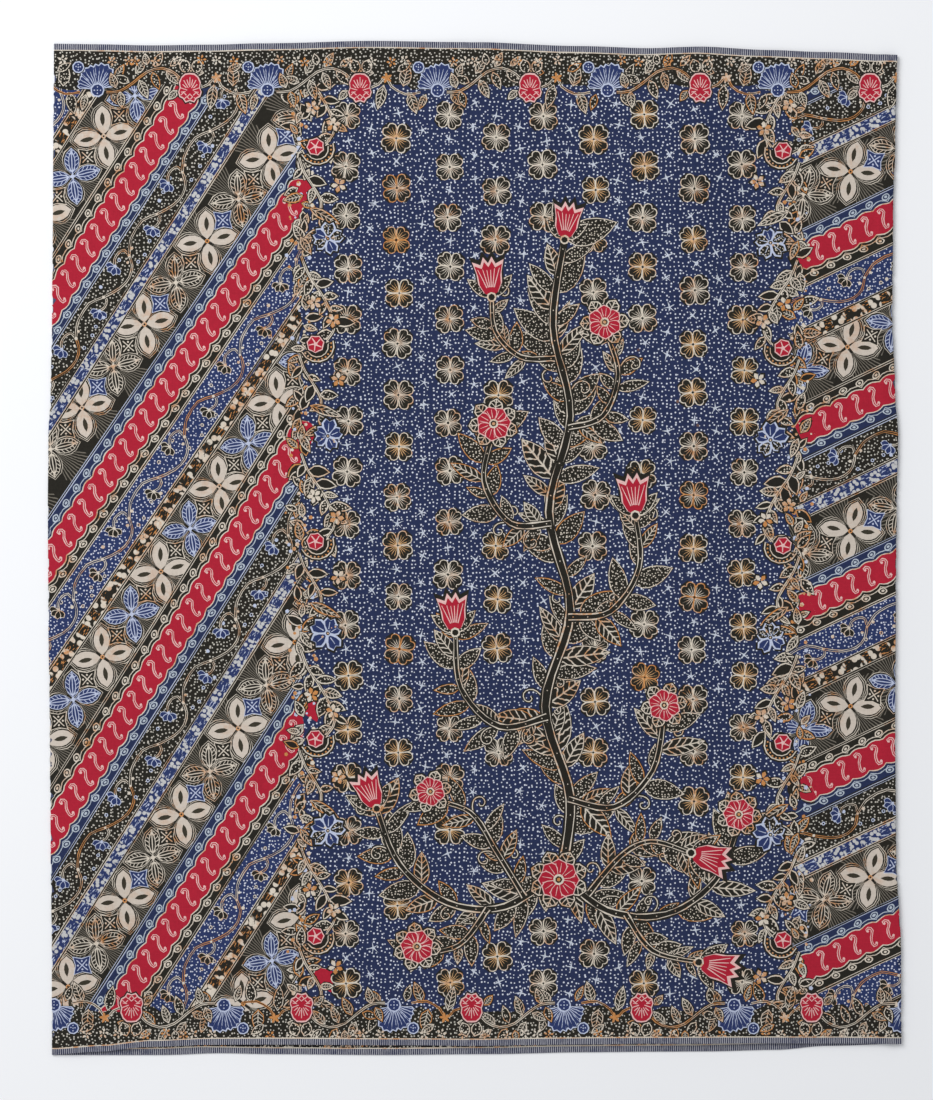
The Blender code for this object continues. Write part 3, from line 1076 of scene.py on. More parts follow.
class Band:
    """A red band's own frame: s runs up along it and t square across to its lower right."""

    def __init__(self, row, before, round_end):
        self.length = math.hypot(row.end[0] - row.start[0], row.end[1] - row.start[1])
        self.start = row.start
        self.cos = (row.end[0] - row.start[0]) / self.length
        self.sin = (row.end[1] - row.start[1]) / self.length
        self.angle = math.degrees(math.atan2(self.sin, self.cos))
        self.gap_scale = row.gap / GAP
        self.before = before
        self.past = self.length + (BAND_RUN_ON if round_end > 0 else 0.0)
        self.round_end = round_end

    def at(self, s, t):
        t = t * self.gap_scale if t > STRIP_OUTER else t
        return (
            self.start[0] + s * self.cos + t * self.sin,
            self.start[1] + s * self.sin - t * self.cos,
        )

    def strip(self, inner, outer):
        near = (self.at(-self.before, inner), self.at(-self.before, outer))
        far = (self.at(self.past, outer), self.at(self.past, inner))
        return [*near, *far]

    def run(self, t, step=60.0):
        reach = self.past + self.before
        count = max(2, int(reach / step) + 1)
        return [self.at(reach * i / (count - 1) - self.before, t) for i in range(count)]

    def wavy_edge(self, side, grow, phase, reach):
        """One edge of the red band, a row of arcs, closed round at the end where it stops."""
        path = []
        steps = int((self.length + self.before) / (SCALLOP / 5))
        for i in range(steps + 1):
            s = (self.length + self.before) * i / steps - self.before
            wave = abs(math.sin(math.pi * (s - phase + 3.0 * side) / SCALLOP)) ** 0.7
            to_end = self.length - s if self.round_end > 0 else s
            close = min(1.0, max(0.0, to_end / 11.0))
            half = (RED_HALF - 1.8 + SCALLOP_DEEP * wave) * math.sqrt(max(0.02, 1 - (1 - close) ** 2))
            if 0.0 <= to_end <= reach:
                path.append(self.at(s, side * (half + grow)))
        return path

    def scalloped(self, grow, phase, reach=2000.0):
        """The red's outline, or only the part of it within a reach of its rounded end."""
        lower = self.wavy_edge(-1, grow, phase, reach)
        return self.wavy_edge(1, grow, phase, reach) + lower[::-1]


def red_end(drawing, band, phase):
    """The rounded end of a red band, drawn again over the field's ground."""
    drawing.fill("black", band.scalloped(3.0, phase, 17.0))
    drawing.fill("cream", band.scalloped(1.1, phase, 19.0))
    drawing.fill("red", band.scalloped(0.0, phase, 21.0))


def red_band(drawing, band, phase, tilt):
    """Scalloped red with its light edge and the row of hooks."""
    drawing.fill("cream", band.scalloped(1.1, phase))
    drawing.fill("red", band.scalloped(0.0, phase))
    first = -int(band.before / SCALLOP) if band.round_end > 0 else 0
    count = int(band.length / SCALLOP)
    for i in range(first, count):
        s = phase + SCALLOP * (i + 0.5)
        if band.round_end > 0 and s > band.length - 12.0:
            continue
        if band.round_end < 0 and s < 14.0:
            continue
        x, y = band.at(s, 0.0)
        hook = set_at(HOOK, x, y, tilt, 0.97)
        drawing.line("pink", hook, 2.8)
        drawing.line("red", hook, 1.0)
        for end_x, end_y in (hook[0], hook[-1]):
            dot(drawing, "pink", end_x, end_y, 1.35, 5)


def eyed_strip(drawing, band, side, phase, ground, line):
    """A narrow strip beside the red, with an eye in each hollow of its edge and a double line."""
    hollow_x, hollow_y = band.at(phase - 3.0 * side, 0.0)
    frame = (hollow_x, hollow_y, band.angle, 1.0, 1.0)
    drawing.fill("eyes_" + ground, band.strip(side * 8.0, side * STRIP_OUTER), frame)
    double_line(drawing, band.run(side * (STRIP_OUTER + 1.0)), line, "black")


def creeper_band(drawing, band, ground, phase, rng):
    """The dotted band: a winding double stem with crooks, buds, rings and small curls."""
    on_black = ground == "black_dotted"
    bud_line = "pale" if on_black else "cream"
    bud_inside = "blue" if on_black else "black"
    halo = "black" if on_black else "indigo"
    drawing.fill(ground, band.strip(STRIP_OUTER + 2.4, BLOBS_INNER))
    first = -int(band.before / CREEPER_PERIOD) - 1
    for period in range(first, int(band.past / CREEPER_PERIOD) + 1):
        origin = phase + period * CREEPER_PERIOD

        def along(points):
            return [
                band.at(origin + u, CREEPER_MIDDLE + v) for u, v in points if origin + u < band.past
            ]

        stem_dye = rng.choice(("cream", "amber", "cream"))
        for crook in (UPPER_CROOK, LOWER_CROOK):
            path = along(smooth(crook, 2))
            if len(path) > 4:
                drawing.line(halo, path, 4.2)
                double_line(drawing, path, "cream", halo, 2.3)
                bud_x, bud_y = path[-1]
                turned = band.angle + 180 + rng.uniform(-14, 30)
                lobed_bud(drawing, bud_x, bud_y, turned, bud_line, bud_inside)
        stem = along(smooth(CREEPER_STEM, 2))
        if len(stem) > 3:
            drawing.line(halo, stem, 4.4)
            double_line(drawing, stem, stem_dye, halo, 2.4)
        for u, v in ((0, 2), (52, 3), (-7, 5), (8, 0)):
            for x, y in along([(u, v)]):
                dot(drawing, "cream", x, y, rng.uniform(1.3, 2.0))
        for u, v in ((24, 12), (37, 16), (63, -4), (78, -3), (90, -6), (12, 15), (100, 14)):
            for x, y in along([(u + rng.uniform(-4, 4), v + rng.uniform(-2, 2))]):
                dot(drawing, bud_line, x, y, 2.0, 7)
                if rng.random() < 0.8:
                    dot(drawing, halo, x, y, 1.15, 5)
    double_line(drawing, band.run(BLOBS_INNER - 1.0), "cream")


def blob_strip(drawing, band, ground):
    """Clustered drops and strokes between two double lines, uneven as poured wax."""
    from_x, from_y = band.at(0.0, BLOBS_INNER)
    frame = (from_x, from_y, band.angle, 1.0, 1.0)
    drawing.fill("blobs_" + ground, band.strip(BLOBS_INNER, LINES_OUTER), frame)
    double_line(drawing, band.run(LINES_OUTER - 1.0), "cream")


# Four-petalled flowers
# The large flower has four plain undyed petals with a dark slit, ringed by echo lines; the one
# between is four veined leaves. Pillow squares with a cross and four dots fill between them.
PETAL_TURNS = (14, 93, 189, 279)


def ray_corners(drawing, x, y, turn):
    """Fine hatching between the petals of a flower, spread from its middle."""
    angles = [turn + petal for petal in PETAL_TURNS]
    for k in range(4):
        gap = (angles[(k + 1) % 4] - angles[k]) % 360
        corner = [(8, -3), (30, -18), (47, -13), (51, 0), (47, 13), (30, 18), (8, 3)]
        drawing.fill("rays", set_at(corner, x, y, angles[k] + gap / 2), (x, y, turn, 1.0, 1.0))


def split_petal_flower(drawing, x, y, turn):
    angles = [turn + petal for petal in PETAL_TURNS]
    for grow, dye in ((4.1, "cream"), (3.55, "black"), (2.1, "cream"), (1.5, "black")):
        for angle in angles:
            ring = lens(2.0, 32.0 + grow, 8.4 + grow, 4, 0.52, 0.66)
            drawing.fill(dye, set_at(ring, x, y, angle))
    for angle in angles:
        drawing.fill("petal", set_at(lens(2.0, 32.0, 8.4, 5, 0.52, 0.62), x, y, angle))
        slit = lens(10.5, 25.5, 2.5, 3, 0.5, 0.7)
        drawing.fill("slit", set_at(slit, x, y, angle + drawing.hand.uniform(-2, 3)))
    dot(drawing, "amber", x, y, 2.6, 7)
    dot(drawing, "black", x, y, 1.2, 5)


def veined_leaf_flower(drawing, x, y, turn, inside):
    line = "pale" if inside == "blue" else "cream"
    for petal in PETAL_TURNS:
        angle = turn + petal
        for grow, dye in ((2.2, "cream"), (1.65, "black"), (0.0, line)):
            body = lens(1.4, 30.0 + grow, 8.0 + grow, 4, 0.52, 0.68)
            drawing.fill(dye, set_at(body, x, y, angle))
        hollow = set_at(lens(1.8, 29.3, 7.35, 4, 0.52, 0.68), x, y, angle)
        drawing.fill("flower_" + inside, hollow, (x, y, angle, 30.0, 7.6))
    dot(drawing, line, x, y, 2.3, 7)


def pillow(drawing, x, y, turn, inside):
    """A square with hollow sides, crossed from corner to corner, with a dot in each quarter."""
    line = "pale" if inside == "blue" else "cream"
    shape = ((9.6, 9.6), (0, 7.3), (-9.6, 9.6), (-7.3, 0), (-9.6, -9.6), (0, -7.3), (9.6, -9.6), (7.3, 0))
    drawing.fill(line, set_at(shape, x, y, turn))
    drawing.fill("crossed_" + inside, set_at(shape, x, y, turn, 0.9), (x, y, turn, 9.6, 9.6))


# The head panel, at the left
# Five slanting red bands rise to the right, not quite parallel, as the dyer ruled them by hand.
# Each row is one red band and the flower chain that lies to its lower right.
BandRow = namedtuple("BandRow", "start end gap ground phase flower step count")
HEAD_BANDS = (
    BandRow((-582, 322), (-418, 577), 155, "blue", 4.0, (-387, 430), (-65, -84), 2),
    BandRow((-455, 233), (-292, 487), 146, "black", 9.0, (-213.6, 407.6), (-65.4, -87.0), 4),
    BandRow((-456, -31), (-174, 383), 158, "blue", 2.0, (-205.3, 153.7), (-61.0, -89.1), 5),
    BandRow((-458, -323), (-172, 131), 158, "black", 13.0, (-187.5, -98.2), (-59.2, -89.9), 5),
    BandRow((-400, -523), (-166, -158), 158, "blue", 7.0, (-181.2, -385.5), (-60.0, -90.0), 2),
    BandRow((-214, -541), (-150, -441), 158, "black", 5.0, (-90, -600), (-60.0, -90.0), 0),
)
RUN_IN = 150.0  # how far each band was begun before the part of it that shows


def flower_chain(drawing, row, turn):
    """Split-petal flowers in a row, with leaf flowers and pillows halfway between them."""
    step_x, step_y = row.step
    inside = row.ground
    for half_steps in range(-2, 2 * row.count + 2):
        x, y = row.flower[0] + step_x * half_steps / 2, row.flower[1] + step_y * half_steps / 2
        ray_corners(drawing, x, y, turn)
    for i in range(-1, row.count + 1):
        x, y = row.flower[0] + step_x * (i + 0.5), row.flower[1] + step_y * (i + 0.5)
        veined_leaf_flower(drawing, x, y, turn, inside)
    for i in range(0, row.count):
        x, y = row.flower[0] + step_x * i, row.flower[1] + step_y * i
        split_petal_flower(drawing, x, y, turn)
    for i in range(-1, row.count + 1):
        x, y = row.flower[0] + step_x * i, row.flower[1] + step_y * i
        pillow(drawing, x + step_x * 0.26, y + step_y * 0.26, turn + 4, "black")
        upper = "blue" if row.ground == "black" else "black"
        pillow(drawing, x + step_x * 0.75, y + step_y * 0.75, turn + 4, upper)


def slanting_bands(drawing, rows, turn, hook_tilt, before, round_end, seed, creeper_from=0.0):
    rng = random.Random(seed)
    bands = [Band(row, before, round_end) for row in rows]
    for row in rows:
        if row.count:
            flower_chain(drawing, row, turn)
    for row, band in zip(rows, bands):
        on_black = row.ground == "black"
        blob_strip(drawing, band, "blue" if on_black else "black")
        creeper_band(drawing, band, row.ground + "_dotted", row.phase + creeper_from, rng)
        for side, is_blue in ((1, on_black), (-1, not on_black)):
            ground, line = ("blue", "pale") if is_blue else ("black", "cream")
            eyed_strip(drawing, band, side, row.phase, ground, line)
        red_band(drawing, band, row.phase, hook_tilt)
    return bands


front = Drawing(5)
head_bands = slanting_bands(front, HEAD_BANDS, 0.0, 12.0, RUN_IN, 1, 11)


# The end panel, at the right
# The same bands at a lower slant, cut off by the seam after one flower.
END_BANDS = (
    BandRow((336, 489), (480, 557), 168, "black", 15.4, (392, 575), (-98, -47), 0),
    BandRow((336, 300), (480, 369), 168, "blue", 14.4, (389.3, 210.1), (-98, -47), 1),
    BandRow((336, 119), (480, 188), 168, "black", 3.4, (392.5, 17.8), (-98, -47), 1),
    BandRow((336, -66), (480, 3), 168, "blue", 17.4, (392.5, -165.0), (-98, -47), 1),
    BandRow((336, -256), (480, -187), 168, "black", 6.4, (413.4, -343.7), (-98, -47), 1),
    BandRow((336, -444), (480, -375), 168, "blue", 1.4, (400, -600), (-98, -47), 0),
)
TOP_FLOWER = BandRow((300, 472), (470, 552), 168, "black", 4.0, (392.5, 393.0), (-98, -47), 1)
flower_chain(front, TOP_FLOWER, -17.0)
end_bands = slanting_bands(front, END_BANDS, -17.0, -2.0, 40.0, -1, 12, -61.0)


# The blossom field
# The body of the cloth is deep indigo, with four-petalled blossoms in staggered columns, small
# crossed stars between them and loose pale dots.
FIELD_LEFT = -179.0
FIELD_RIGHT = 331.0
FIELD_RAGGED = 5.0
FIELD_LOW = -488.0
FIELD_HIGH = 488.0
BLOSSOM_PITCH = 53.3
COLUMNS_X = (-133, -80, -26.6, 23.6, 72.7, 124.9, 176.1, 228.4, 280.6)
PETAL = (
    (1.0, 0.8), (4.6, 4.8), (8.2, 7.9), (12.2, 8.8), (15.5, 7.3), (17.1, 4.4), (16.6, 1.8), (15.0, 0.0),
)
PETAL_HOLLOW = ((2.0, 0.9), (8.0, 6.4), (12.1, 7.8), (14.8, 6.4), (16.1, 4.0), (15.4, 1.8), (14.0, 0.0))


def both_halves(side):
    """A shape along the first axis from the points of one side, the last one on the axis."""
    return [*side, *((u, -v) for u, v in side[-2::-1])]


def blossom(drawing, x, y, turn, rng):
    size = rng.uniform(0.86, 0.98)
    line = "cream" if rng.random() < 0.95 else "amber"
    rays = "burst" if rng.random() < 0.55 else "browned_burst"
    angles = [turn + 45 + 90 * k + rng.uniform(-5, 5) for k in range(4)]
    halo = []
    for angle in angles:
        for swing, reach in ((-34, 14.6), (-14, 19.4), (14, 19.4), (34, 14.6)):
            spot = math.radians(angle + swing)
            halo.append((x + reach * size * math.cos(spot), y + reach * size * math.sin(spot)))
    drawing.fill("black", halo)
    for angle in angles:
        drawing.fill(line, set_at(both_halves(PETAL), x, y, angle, size))
        hollow = set_at(both_halves(PETAL_HOLLOW), x, y, angle, size)
        drawing.fill(rays, hollow, (x, y, turn, 1.0, 1.0))
    dot(drawing, "black", x, y, rng.uniform(0.8, 1.6), 5)


def star(drawing, x, y, turn, rng):
    """Four or five thin uneven arms."""
    arms = rng.choice((4, 4, 5))
    points = []
    for k in range(arms):
        angle = math.radians(turn + 360 * k / arms + rng.uniform(-12, 12))
        hollow = math.radians(turn + 360 * (k + 0.5) / arms)
        reach = rng.uniform(5.0, 7.8)
        points.append((x + reach * math.cos(angle), y + reach * math.sin(angle)))
        points.append((x + 1.15 * math.cos(hollow), y + 1.15 * math.sin(hollow)))
    drawing.fill("star", points)


def blossom_field(drawing, kept_clear, seed):
    """Blossoms and stars where nothing else is drawn. kept_clear holds places of other marks."""
    rng = random.Random(seed)
    taken = np.array(kept_clear)

    def is_free(x, y, reach):
        return np.min(np.hypot(taken[:, 0] - x, taken[:, 1] - y)) > reach

    for column, x in enumerate(COLUMNS_X):
        first = 452.0 if column % 2 == 0 else 427.5
        for row in range(-1, 18):
            y = first - BLOSSOM_PITCH * row + rng.uniform(-2.0, 2.0)
            at_x = x + rng.uniform(-1.8, 1.8)
            if -465.0 < y < 470.0 and is_free(at_x, y, 18.0):
                blossom(drawing, at_x, y, rng.uniform(-8, 8), rng)
            for across, share in ((0.0, 0.5), (26.0, 0.25), (26.0, 0.75)):
                star_x = x + across + rng.uniform(-3, 3)
                star_y = y - BLOSSOM_PITCH * share + rng.uniform(-3, 3)
                on_field = star_x < FIELD_RIGHT - 30 and -470 < star_y < 478
                if on_field and rng.random() < 0.88 and is_free(star_x, star_y, 8.0):
                    star(drawing, star_x, star_y, rng.uniform(0, 90), rng)


# The spray in the field
# A flowering bush stands in the field: dark leafy stems that rise from one foot and branch in
# pairs, with red rosettes and tulip cups at their ends. It is a common bush of stock flower forms.
def rosette(drawing, x, y, radius, petals, turn):
    """Two rings of rounded petals, dark ones outside and red ones inside, round a light eye."""
    for k in range(petals):
        angle = turn + 360.0 * (k + 0.5) / petals
        for grow, dye in ((1.6, "black"), (0.0, "cream"), (-1.2, "veined")):
            petal = lens(radius * 0.3 - grow, radius * 1.42 + grow, radius * 0.40 + grow, 4, 0.62, 0.62)
            frame = (x, y, angle, radius * 1.4, radius * 0.4) if dye == "veined" else None
            drawing.fill(dye, set_at(petal, x, y, angle), frame)
    for k in range(petals):
        angle = turn + 360.0 * k / petals
        for grow, dye in ((0.0, "pink"), (-1.0, "red")):
            petal = lens(1.0 - grow, radius + grow, radius * 0.42 + grow, 4, 0.62, 0.62)
            drawing.fill(dye, set_at(petal, x, y, angle))
        for slant in (-10, 10):
            ray = [(radius * 0.34, 0.0), (radius * 0.8, 0.0)]
            drawing.line("pink", set_at(ray, x, y, angle + slant), 0.85, 0.5)
    dot(drawing, "cream", x, y, radius * 0.27, 9)
    dot(drawing, "black", x, y, radius * 0.17, 7)
    dot(drawing, "amber", x, y, radius * 0.10, 5)


TULIP_CUP = (
    (0, 0), (4, -6), (11, -9.5), (19, -10), (29, -12.5), (26, -6), (32, -3.5), (27, 0),
    (32, 3.5), (26, 6), (29, 12.5), (19, 10), (11, 9.5), (4, 6),
)


def tulip(drawing, x, y, angle, size):
    """A red cup with ruffled lip and light rays, held by two dark sepals."""
    for side in (1, -1):
        plain_leaf(drawing, x, y, angle + side * 48, 24.0 * size, 9.5 * size)
    for grow, dye in ((1.16, "black"), (1.0, "pink"), (0.88, "red")):
        cup = [(1.0 + (u - 1.0) * grow, v * grow) for u, v in TULIP_CUP]
        drawing.fill(dye, set_at(cup, x, y, angle, size))
    for slant in (-21, -12, -4, 4, 12, 21):
        ray = [(8.0, 0.0), (21.0 + abs(slant) * 0.15, 0.0)]
        drawing.line("pink", set_at(ray, x, y, angle + slant, size), 1.1, 0.6)
    drawing.fill("cream", set_at(ring_of(4.0, 8), x, y, angle, size))
    drawing.fill("black", set_at(ring_of(2.7, 7), x, y, angle, size))


def thick_stem(drawing, path, width, line="cream"):
    """A dark stem with light edges and a row of wax dots down its middle."""
    drawing.line("black", path, width + 5.0, 0.7)
    drawing.line(line, path, width + 2.2, 0.6)
    drawing.line("black", path, width, 0.6)
    for x, y in path[1:-1:2]:
        dot(drawing, line, x, y, 0.7, 5)


def curl(drawing, x, y, angle, size, flip):
    """A thin tendril rolled up at its end."""
    path = ((0, 0), (8, 4), (17, 5), (24, 1), (25, -6), (20, -10), (15, -8), (15, -4), (18, -3))
    placed = set_at(smooth(path, 2), x, y, angle, size, flip)
    drawing.line("black", placed, 3.6)
    drawing.line("cream", placed, 1.1, 0.8)


Stem = namedtuple("Stem", "path width leaf ends")
BUSH_X = 88.0
BUSH_STEMS = (
    Stem(
        [(0, -352), (12, -262), (-14, -165), (12, -65), (-10, 38), (12, 138), (-6, 232), (6, 322)],
        8,
        60,
        "tulip",
    ),
    Stem([(10, -262), (58, -270), (98, -232), (110, -172)], 5, 50, "rosette"),
    Stem([(-12, -176), (-62, -186), (-102, -146), (-108, -88)], 5, 50, "tulip"),
    Stem([(10, -72), (54, -66), (84, -20), (80, 34)], 5, 46, "tulip"),
    Stem([(-8, 26), (-50, 26), (-78, 70), (-68, 122)], 5, 44, "rosette"),
    Stem([(10, 126), (46, 138), (62, 182), (48, 228)], 4, 40, "rosette"),
    Stem([(-4, 198), (-40, 200), (-66, 226), (-70, 262)], 4, 36, "tulip"),
    Stem([(0, -338), (50, -378), (112, -382), (164, -346), (188, -286)], 6, 50, "rosette"),
    Stem([(0, -338), (-56, -374), (-116, -370), (-166, -330), (-190, -272)], 6, 50, "tulip"),
    Stem([(30, -362), (64, -322), (96, -306), (138, -318)], 4, 42, "tulip"),
    Stem([(-36, -364), (-64, -318), (-92, -276), (-134, -262)], 4, 42, "rosette"),
    Stem([(70, -382), (98, -420), (146, -432)], 4, 36, "tulip"),
    Stem([(-74, -376), (-104, -414), (-148, -424)], 4, 36, "rosette"),
)
bush_places = []
for stem in BUSH_STEMS:
    for x, y in smooth([(BUSH_X + u, v) for u, v in stem.path], 6):
        bush_places += [(x, y), (x - 11, y), (x + 11, y)]
    bush_places.append((BUSH_X + stem.path[-1][0], stem.path[-1][1] + 16))


def flowering_bush(drawing, seed):
    rng = random.Random(seed)
    for stem in BUSH_STEMS:
        path = smooth([(BUSH_X + u, v) for u, v in stem.path], 6)
        walked, side = 0.0, 1
        for (ax, ay), (bx, by) in zip(path, path[1:]):
            walked += math.hypot(bx - ax, by - ay)
            if walked < 6.0 + stem.width:
                continue
            walked = 0.0
            side = -side
            heading = math.degrees(math.atan2(by - ay, bx - ax))
            for turn_side in (side, -side) if rng.random() < 0.6 else (side,):
                angle = heading + turn_side * rng.uniform(24, 66)
                long = stem.leaf * rng.uniform(0.55, 1.0)
                inside = rng.choice(("veined", "spotted", "spotted"))
                dye = rng.choice(("cream", "cream", "cream", "amber"))
                leaf(drawing, bx, by, angle, long, long * rng.uniform(0.32, 0.5), dye, inside)
            if rng.random() < 0.16:
                curl(drawing, bx, by, heading - side * 40, rng.uniform(0.7, 1.1), side)
        thick_stem(drawing, path, stem.width)
    for stem in BUSH_STEMS:
        (ax, ay), (bx, by) = stem.path[-2:]
        angle = math.degrees(math.atan2(by - ay, bx - ax))
        if stem.ends == "tulip":
            tulip(drawing, BUSH_X + bx, by, angle, rng.uniform(1.15, 1.4))
        else:
            rosette(drawing, BUSH_X + bx, by + 8, rng.uniform(16, 19), rng.choice((6, 7)), rng.uniform(0, 60))
    rosette(drawing, BUSH_X, -346, 22.0, 8, 0.0)


RUST_MARKS = ((171, 207), (212, 153), (233, 128), (329, 154))


def field_ground(drawing, seed):
    """The indigo ground, with ragged sides where it runs in under the leaves of the side borders."""
    rng = random.Random(seed)
    heights = np.arange(FIELD_LOW, FIELD_HIGH, 9.0).tolist()
    right = [(FIELD_RIGHT + rng.uniform(-FIELD_RAGGED, FIELD_RAGGED), y) for y in heights]
    left = [(FIELD_LEFT + rng.uniform(-FIELD_RAGGED, FIELD_RAGGED), y) for y in heights]
    drawing.fill("indigo_dotted", right + left[::-1])


field_ground(front, 20)
for rows, bands in ((HEAD_BANDS, head_bands), (END_BANDS, end_bands)):
    for row, band in zip(rows, bands):
        red_end(front, band, row.phase)
for x, y in RUST_MARKS:
    dot(front, "rust", x, y, 1.7, 7)
blossom_field(front, bush_places, 21)
flowering_bush(front, 22)


# The side borders of the field
# A ragged creeper of dark leaves hides where the field meets the two banded panels. Each repeat has
# a small red flower over a dotted collar, a pale winged blossom, a long hatched leaf and two sprays.
SIDE_PERIOD = 206.0
SPRAY_ABOVE = ((-17, -10), (-11, -26), (-2, -40), (6, -56), (4, -72))
SPRAY_BELOW = ((-15, -112), (-8, -130), (4, -148), (14, -166), (20, -186), (12, -200))
LONG_LEAF = ((-6, -62, -26, 36, 10), (10, -84, 200, 24, 9), (-16, -92, -60, 22, 9))
WING_PETAL = ((0, 1.2), (5, 5), (10, 6.5), (14.5, 3.6), (12.2, 0.0))


def small_red_flower(drawing, x, y, rng):
    """A round red flower cut across by pink lines, with a scalloped rim."""
    turn = rng.uniform(0, 60)
    rim = []
    for k in range(14):
        angle = 2 * math.pi * k / 14 + math.radians(turn)
        reach = 9.6 if k % 2 else 8.4
        rim.append((reach * math.cos(angle), reach * math.sin(angle)))
    for size, dye in ((1.2, "black"), (1.0, "pink"), (0.88, "red")):
        drawing.fill(dye, set_at(rim, x, y, 0.0, size))
    for k in range(5):
        ray = [(2.0, 0.0), (7.0, 1.0)]
        drawing.line("pink", set_at(ray, x, y, turn + 72 * k), 1.3, 0.7)
    dot(drawing, "pink", x, y, 2.2, 6)


def dotted_collar(drawing, x, y, mirror, rng):
    """A crescent of wax dots that cups the red flower from below."""
    outer = [(18 * math.cos(a), 17 * math.sin(a)) for a in np.linspace(-2.75, 0.35, 8)]
    inner = [(11 * math.cos(a), 11 * math.sin(a)) for a in np.linspace(0.2, -2.6, 7)]
    crescent = [(x + mirror * u, y + v) for u, v in outer + inner]
    drawing.fill("black", [(x + mirror * u * 1.1, y + v * 1.1) for u, v in outer] + [(x, y)])
    drawing.fill("cream", crescent)
    hollow = [(x + mirror * u * 0.93, y + v * 0.93) for u, v in outer]
    hollow += [(x + mirror * u * 1.09, y + v * 1.09) for u, v in inner]
    drawing.fill("black", hollow)
    for a in np.linspace(-2.6, 0.2, 11):
        reach = 14.6 + rng.uniform(-0.6, 0.6)
        dot(drawing, "amber", x + mirror * reach * math.cos(a), y + reach * math.sin(a), 1.1, 5)


def winged_blossom(drawing, x, y, mirror, rng):
    """A pale open blossom of uneven petals, outlined over blue and black hollows."""
    turns = (20, 84, 150, 214, 300)
    petals = []
    for turn in turns:
        angle = (turn if mirror > 0 else 180 - turn) + rng.uniform(-8, 8)
        petals.append((angle, rng.uniform(0.95, 1.35)))
    for grow, dye in ((1.16, "black"), (1.0, "pale")):
        for angle, size in petals:
            drawing.fill(dye, set_at(both_halves(WING_PETAL), x, y, angle, size * grow))
    for angle, size in petals:
        hollow = [(2.6 + u * 0.76, v * 0.74) for u, v in both_halves(WING_PETAL)]
        drawing.fill(rng.choice(("blue", "blue", "spotted")), set_at(hollow, x, y, angle, size))
        drawing.line("pale", set_at([(4.0, 0.0), (10.5, 0.4)], x, y, angle, size), 0.9, 0.6)
    for _ in range(3):
        spot_x, spot_y = x + rng.uniform(-8, 8), y + rng.uniform(-8, 8)
        dot(drawing, "cream", spot_x, spot_y, rng.uniform(0.8, 1.5), 5)
    dot(drawing, "black", x, y, 2.2, 6)
    dot(drawing, "cream", x, y, 1.1, 5)


def side_repeat(drawing, x, y, mirror, rng):
    def at(u, v):
        return x + mirror * u, y + v

    def angle(value):
        return value if mirror > 0 else 180 - value

    for spray, size in ((SPRAY_ABOVE, 17.0), (SPRAY_BELOW, 19.0)):
        path = smooth([at(u, v) for u, v in spray], 3)
        leafy_stem(drawing, path, size, rng, spacing=6.6, width=2.3)
    for u, v, turn, long, wide in LONG_LEAF:
        root_x, root_y = at(u, v)
        dye = "amber" if rng.random() < 0.5 else "cream"
        slant = angle(turn + rng.uniform(-10, 10))
        leaf(drawing, root_x, root_y, slant, long, wide, dye, "veined", BOLD_EDGE)
    winged_blossom(drawing, *at(13, -94), mirror, rng)
    for u, v in ((20, -178), (-4, -160), (24, -34)):
        knot_x, knot_y = at(u + rng.uniform(-3, 3), v + rng.uniform(-4, 4))
        turn = rng.uniform(0, 72)
        for k in range(5):
            petal = lens(0.6, 8.0, 2.6, 2, 0.6)
            drawing.fill("black", set_at(petal, knot_x, knot_y, turn + 72 * k, 1.3))
        for k in range(5):
            petal = lens(0.6, 8.0, 2.4, 2, 0.6)
            drawing.fill(rng.choice(("cream", "amber")), set_at(petal, knot_x, knot_y, turn + 72 * k))
        dot(drawing, "black", knot_x, knot_y, 1.4, 5)
    dotted_collar(drawing, *at(2, 0), mirror, rng)
    small_red_flower(drawing, *at(0, 2), rng)


def side_border(drawing, x, first_flower, mirror, seed):
    rng = random.Random(seed)
    y = 496.0
    while y > -500.0:
        root_x = x - mirror * rng.uniform(10, 20)
        turn = rng.uniform(0, 360)
        long = rng.uniform(13, 22)
        inside = rng.choice(("black", "spotted", "veined", "veined"))
        dye = rng.choice(("cream", "cream", "amber"))
        leaf(drawing, root_x, y, turn, long, long * 0.5, dye, inside, BOLD_EDGE)
        for _ in range(2):
            spot_x, spot_y = root_x + rng.uniform(-14, 14), y - rng.uniform(0, 8)
            dot(drawing, rng.choice(("cream", "amber", "pale")), spot_x, spot_y, rng.uniform(1.0, 2.6), 5)
        y -= 8.0
    y = first_flower + SIDE_PERIOD
    while y > -560.0:
        side_repeat(drawing, x - mirror * 1.0, y, mirror, rng)
        y -= SIDE_PERIOD


# The upper and lower borders
# A creeper of hatched leaves on a dotted black ground, with a red carnation and a blue fan flower in
# every repeat. The lower border is the upper one turned half round.
BORDER_REPEAT = 177.5
BORDER_DEEP = 46.0


class BorderPlace:
    """A repeat's own frame: u along the border, w inwards from the cloth's edge."""

    def __init__(self, x, y, turn):
        self.x, self.y, self.turn = x, y, turn

    def at(self, u, w):
        return self.x + self.turn * u, self.y - self.turn * w

    def path(self, points):
        return [self.at(u, w) for u, w in points]


def drop_blossom(drawing, x, y, rng, dye="cream"):
    turn = rng.uniform(0, 72)
    for k in range(5):
        drawing.fill(dye, set_at(lens(1.4, 5.6, 1.3, 1, 0.6), x, y, turn + 72 * k))
    dot(drawing, dye, x, y, 0.9, 5)


CARNATION_BODY = (
    (0, -15), (5, -14.5), (9, -11), (11.5, -5), (10.6, 0), (12.4, 5), (10.8, 10), (7, 12), (4.6, 16),
    (0, 14.4), (-4.6, 16), (-7.4, 12), (-11, 10), (-12.4, 5), (-10.6, 0), (-11.5, -5), (-9, -11), (-5, -14.5),
)


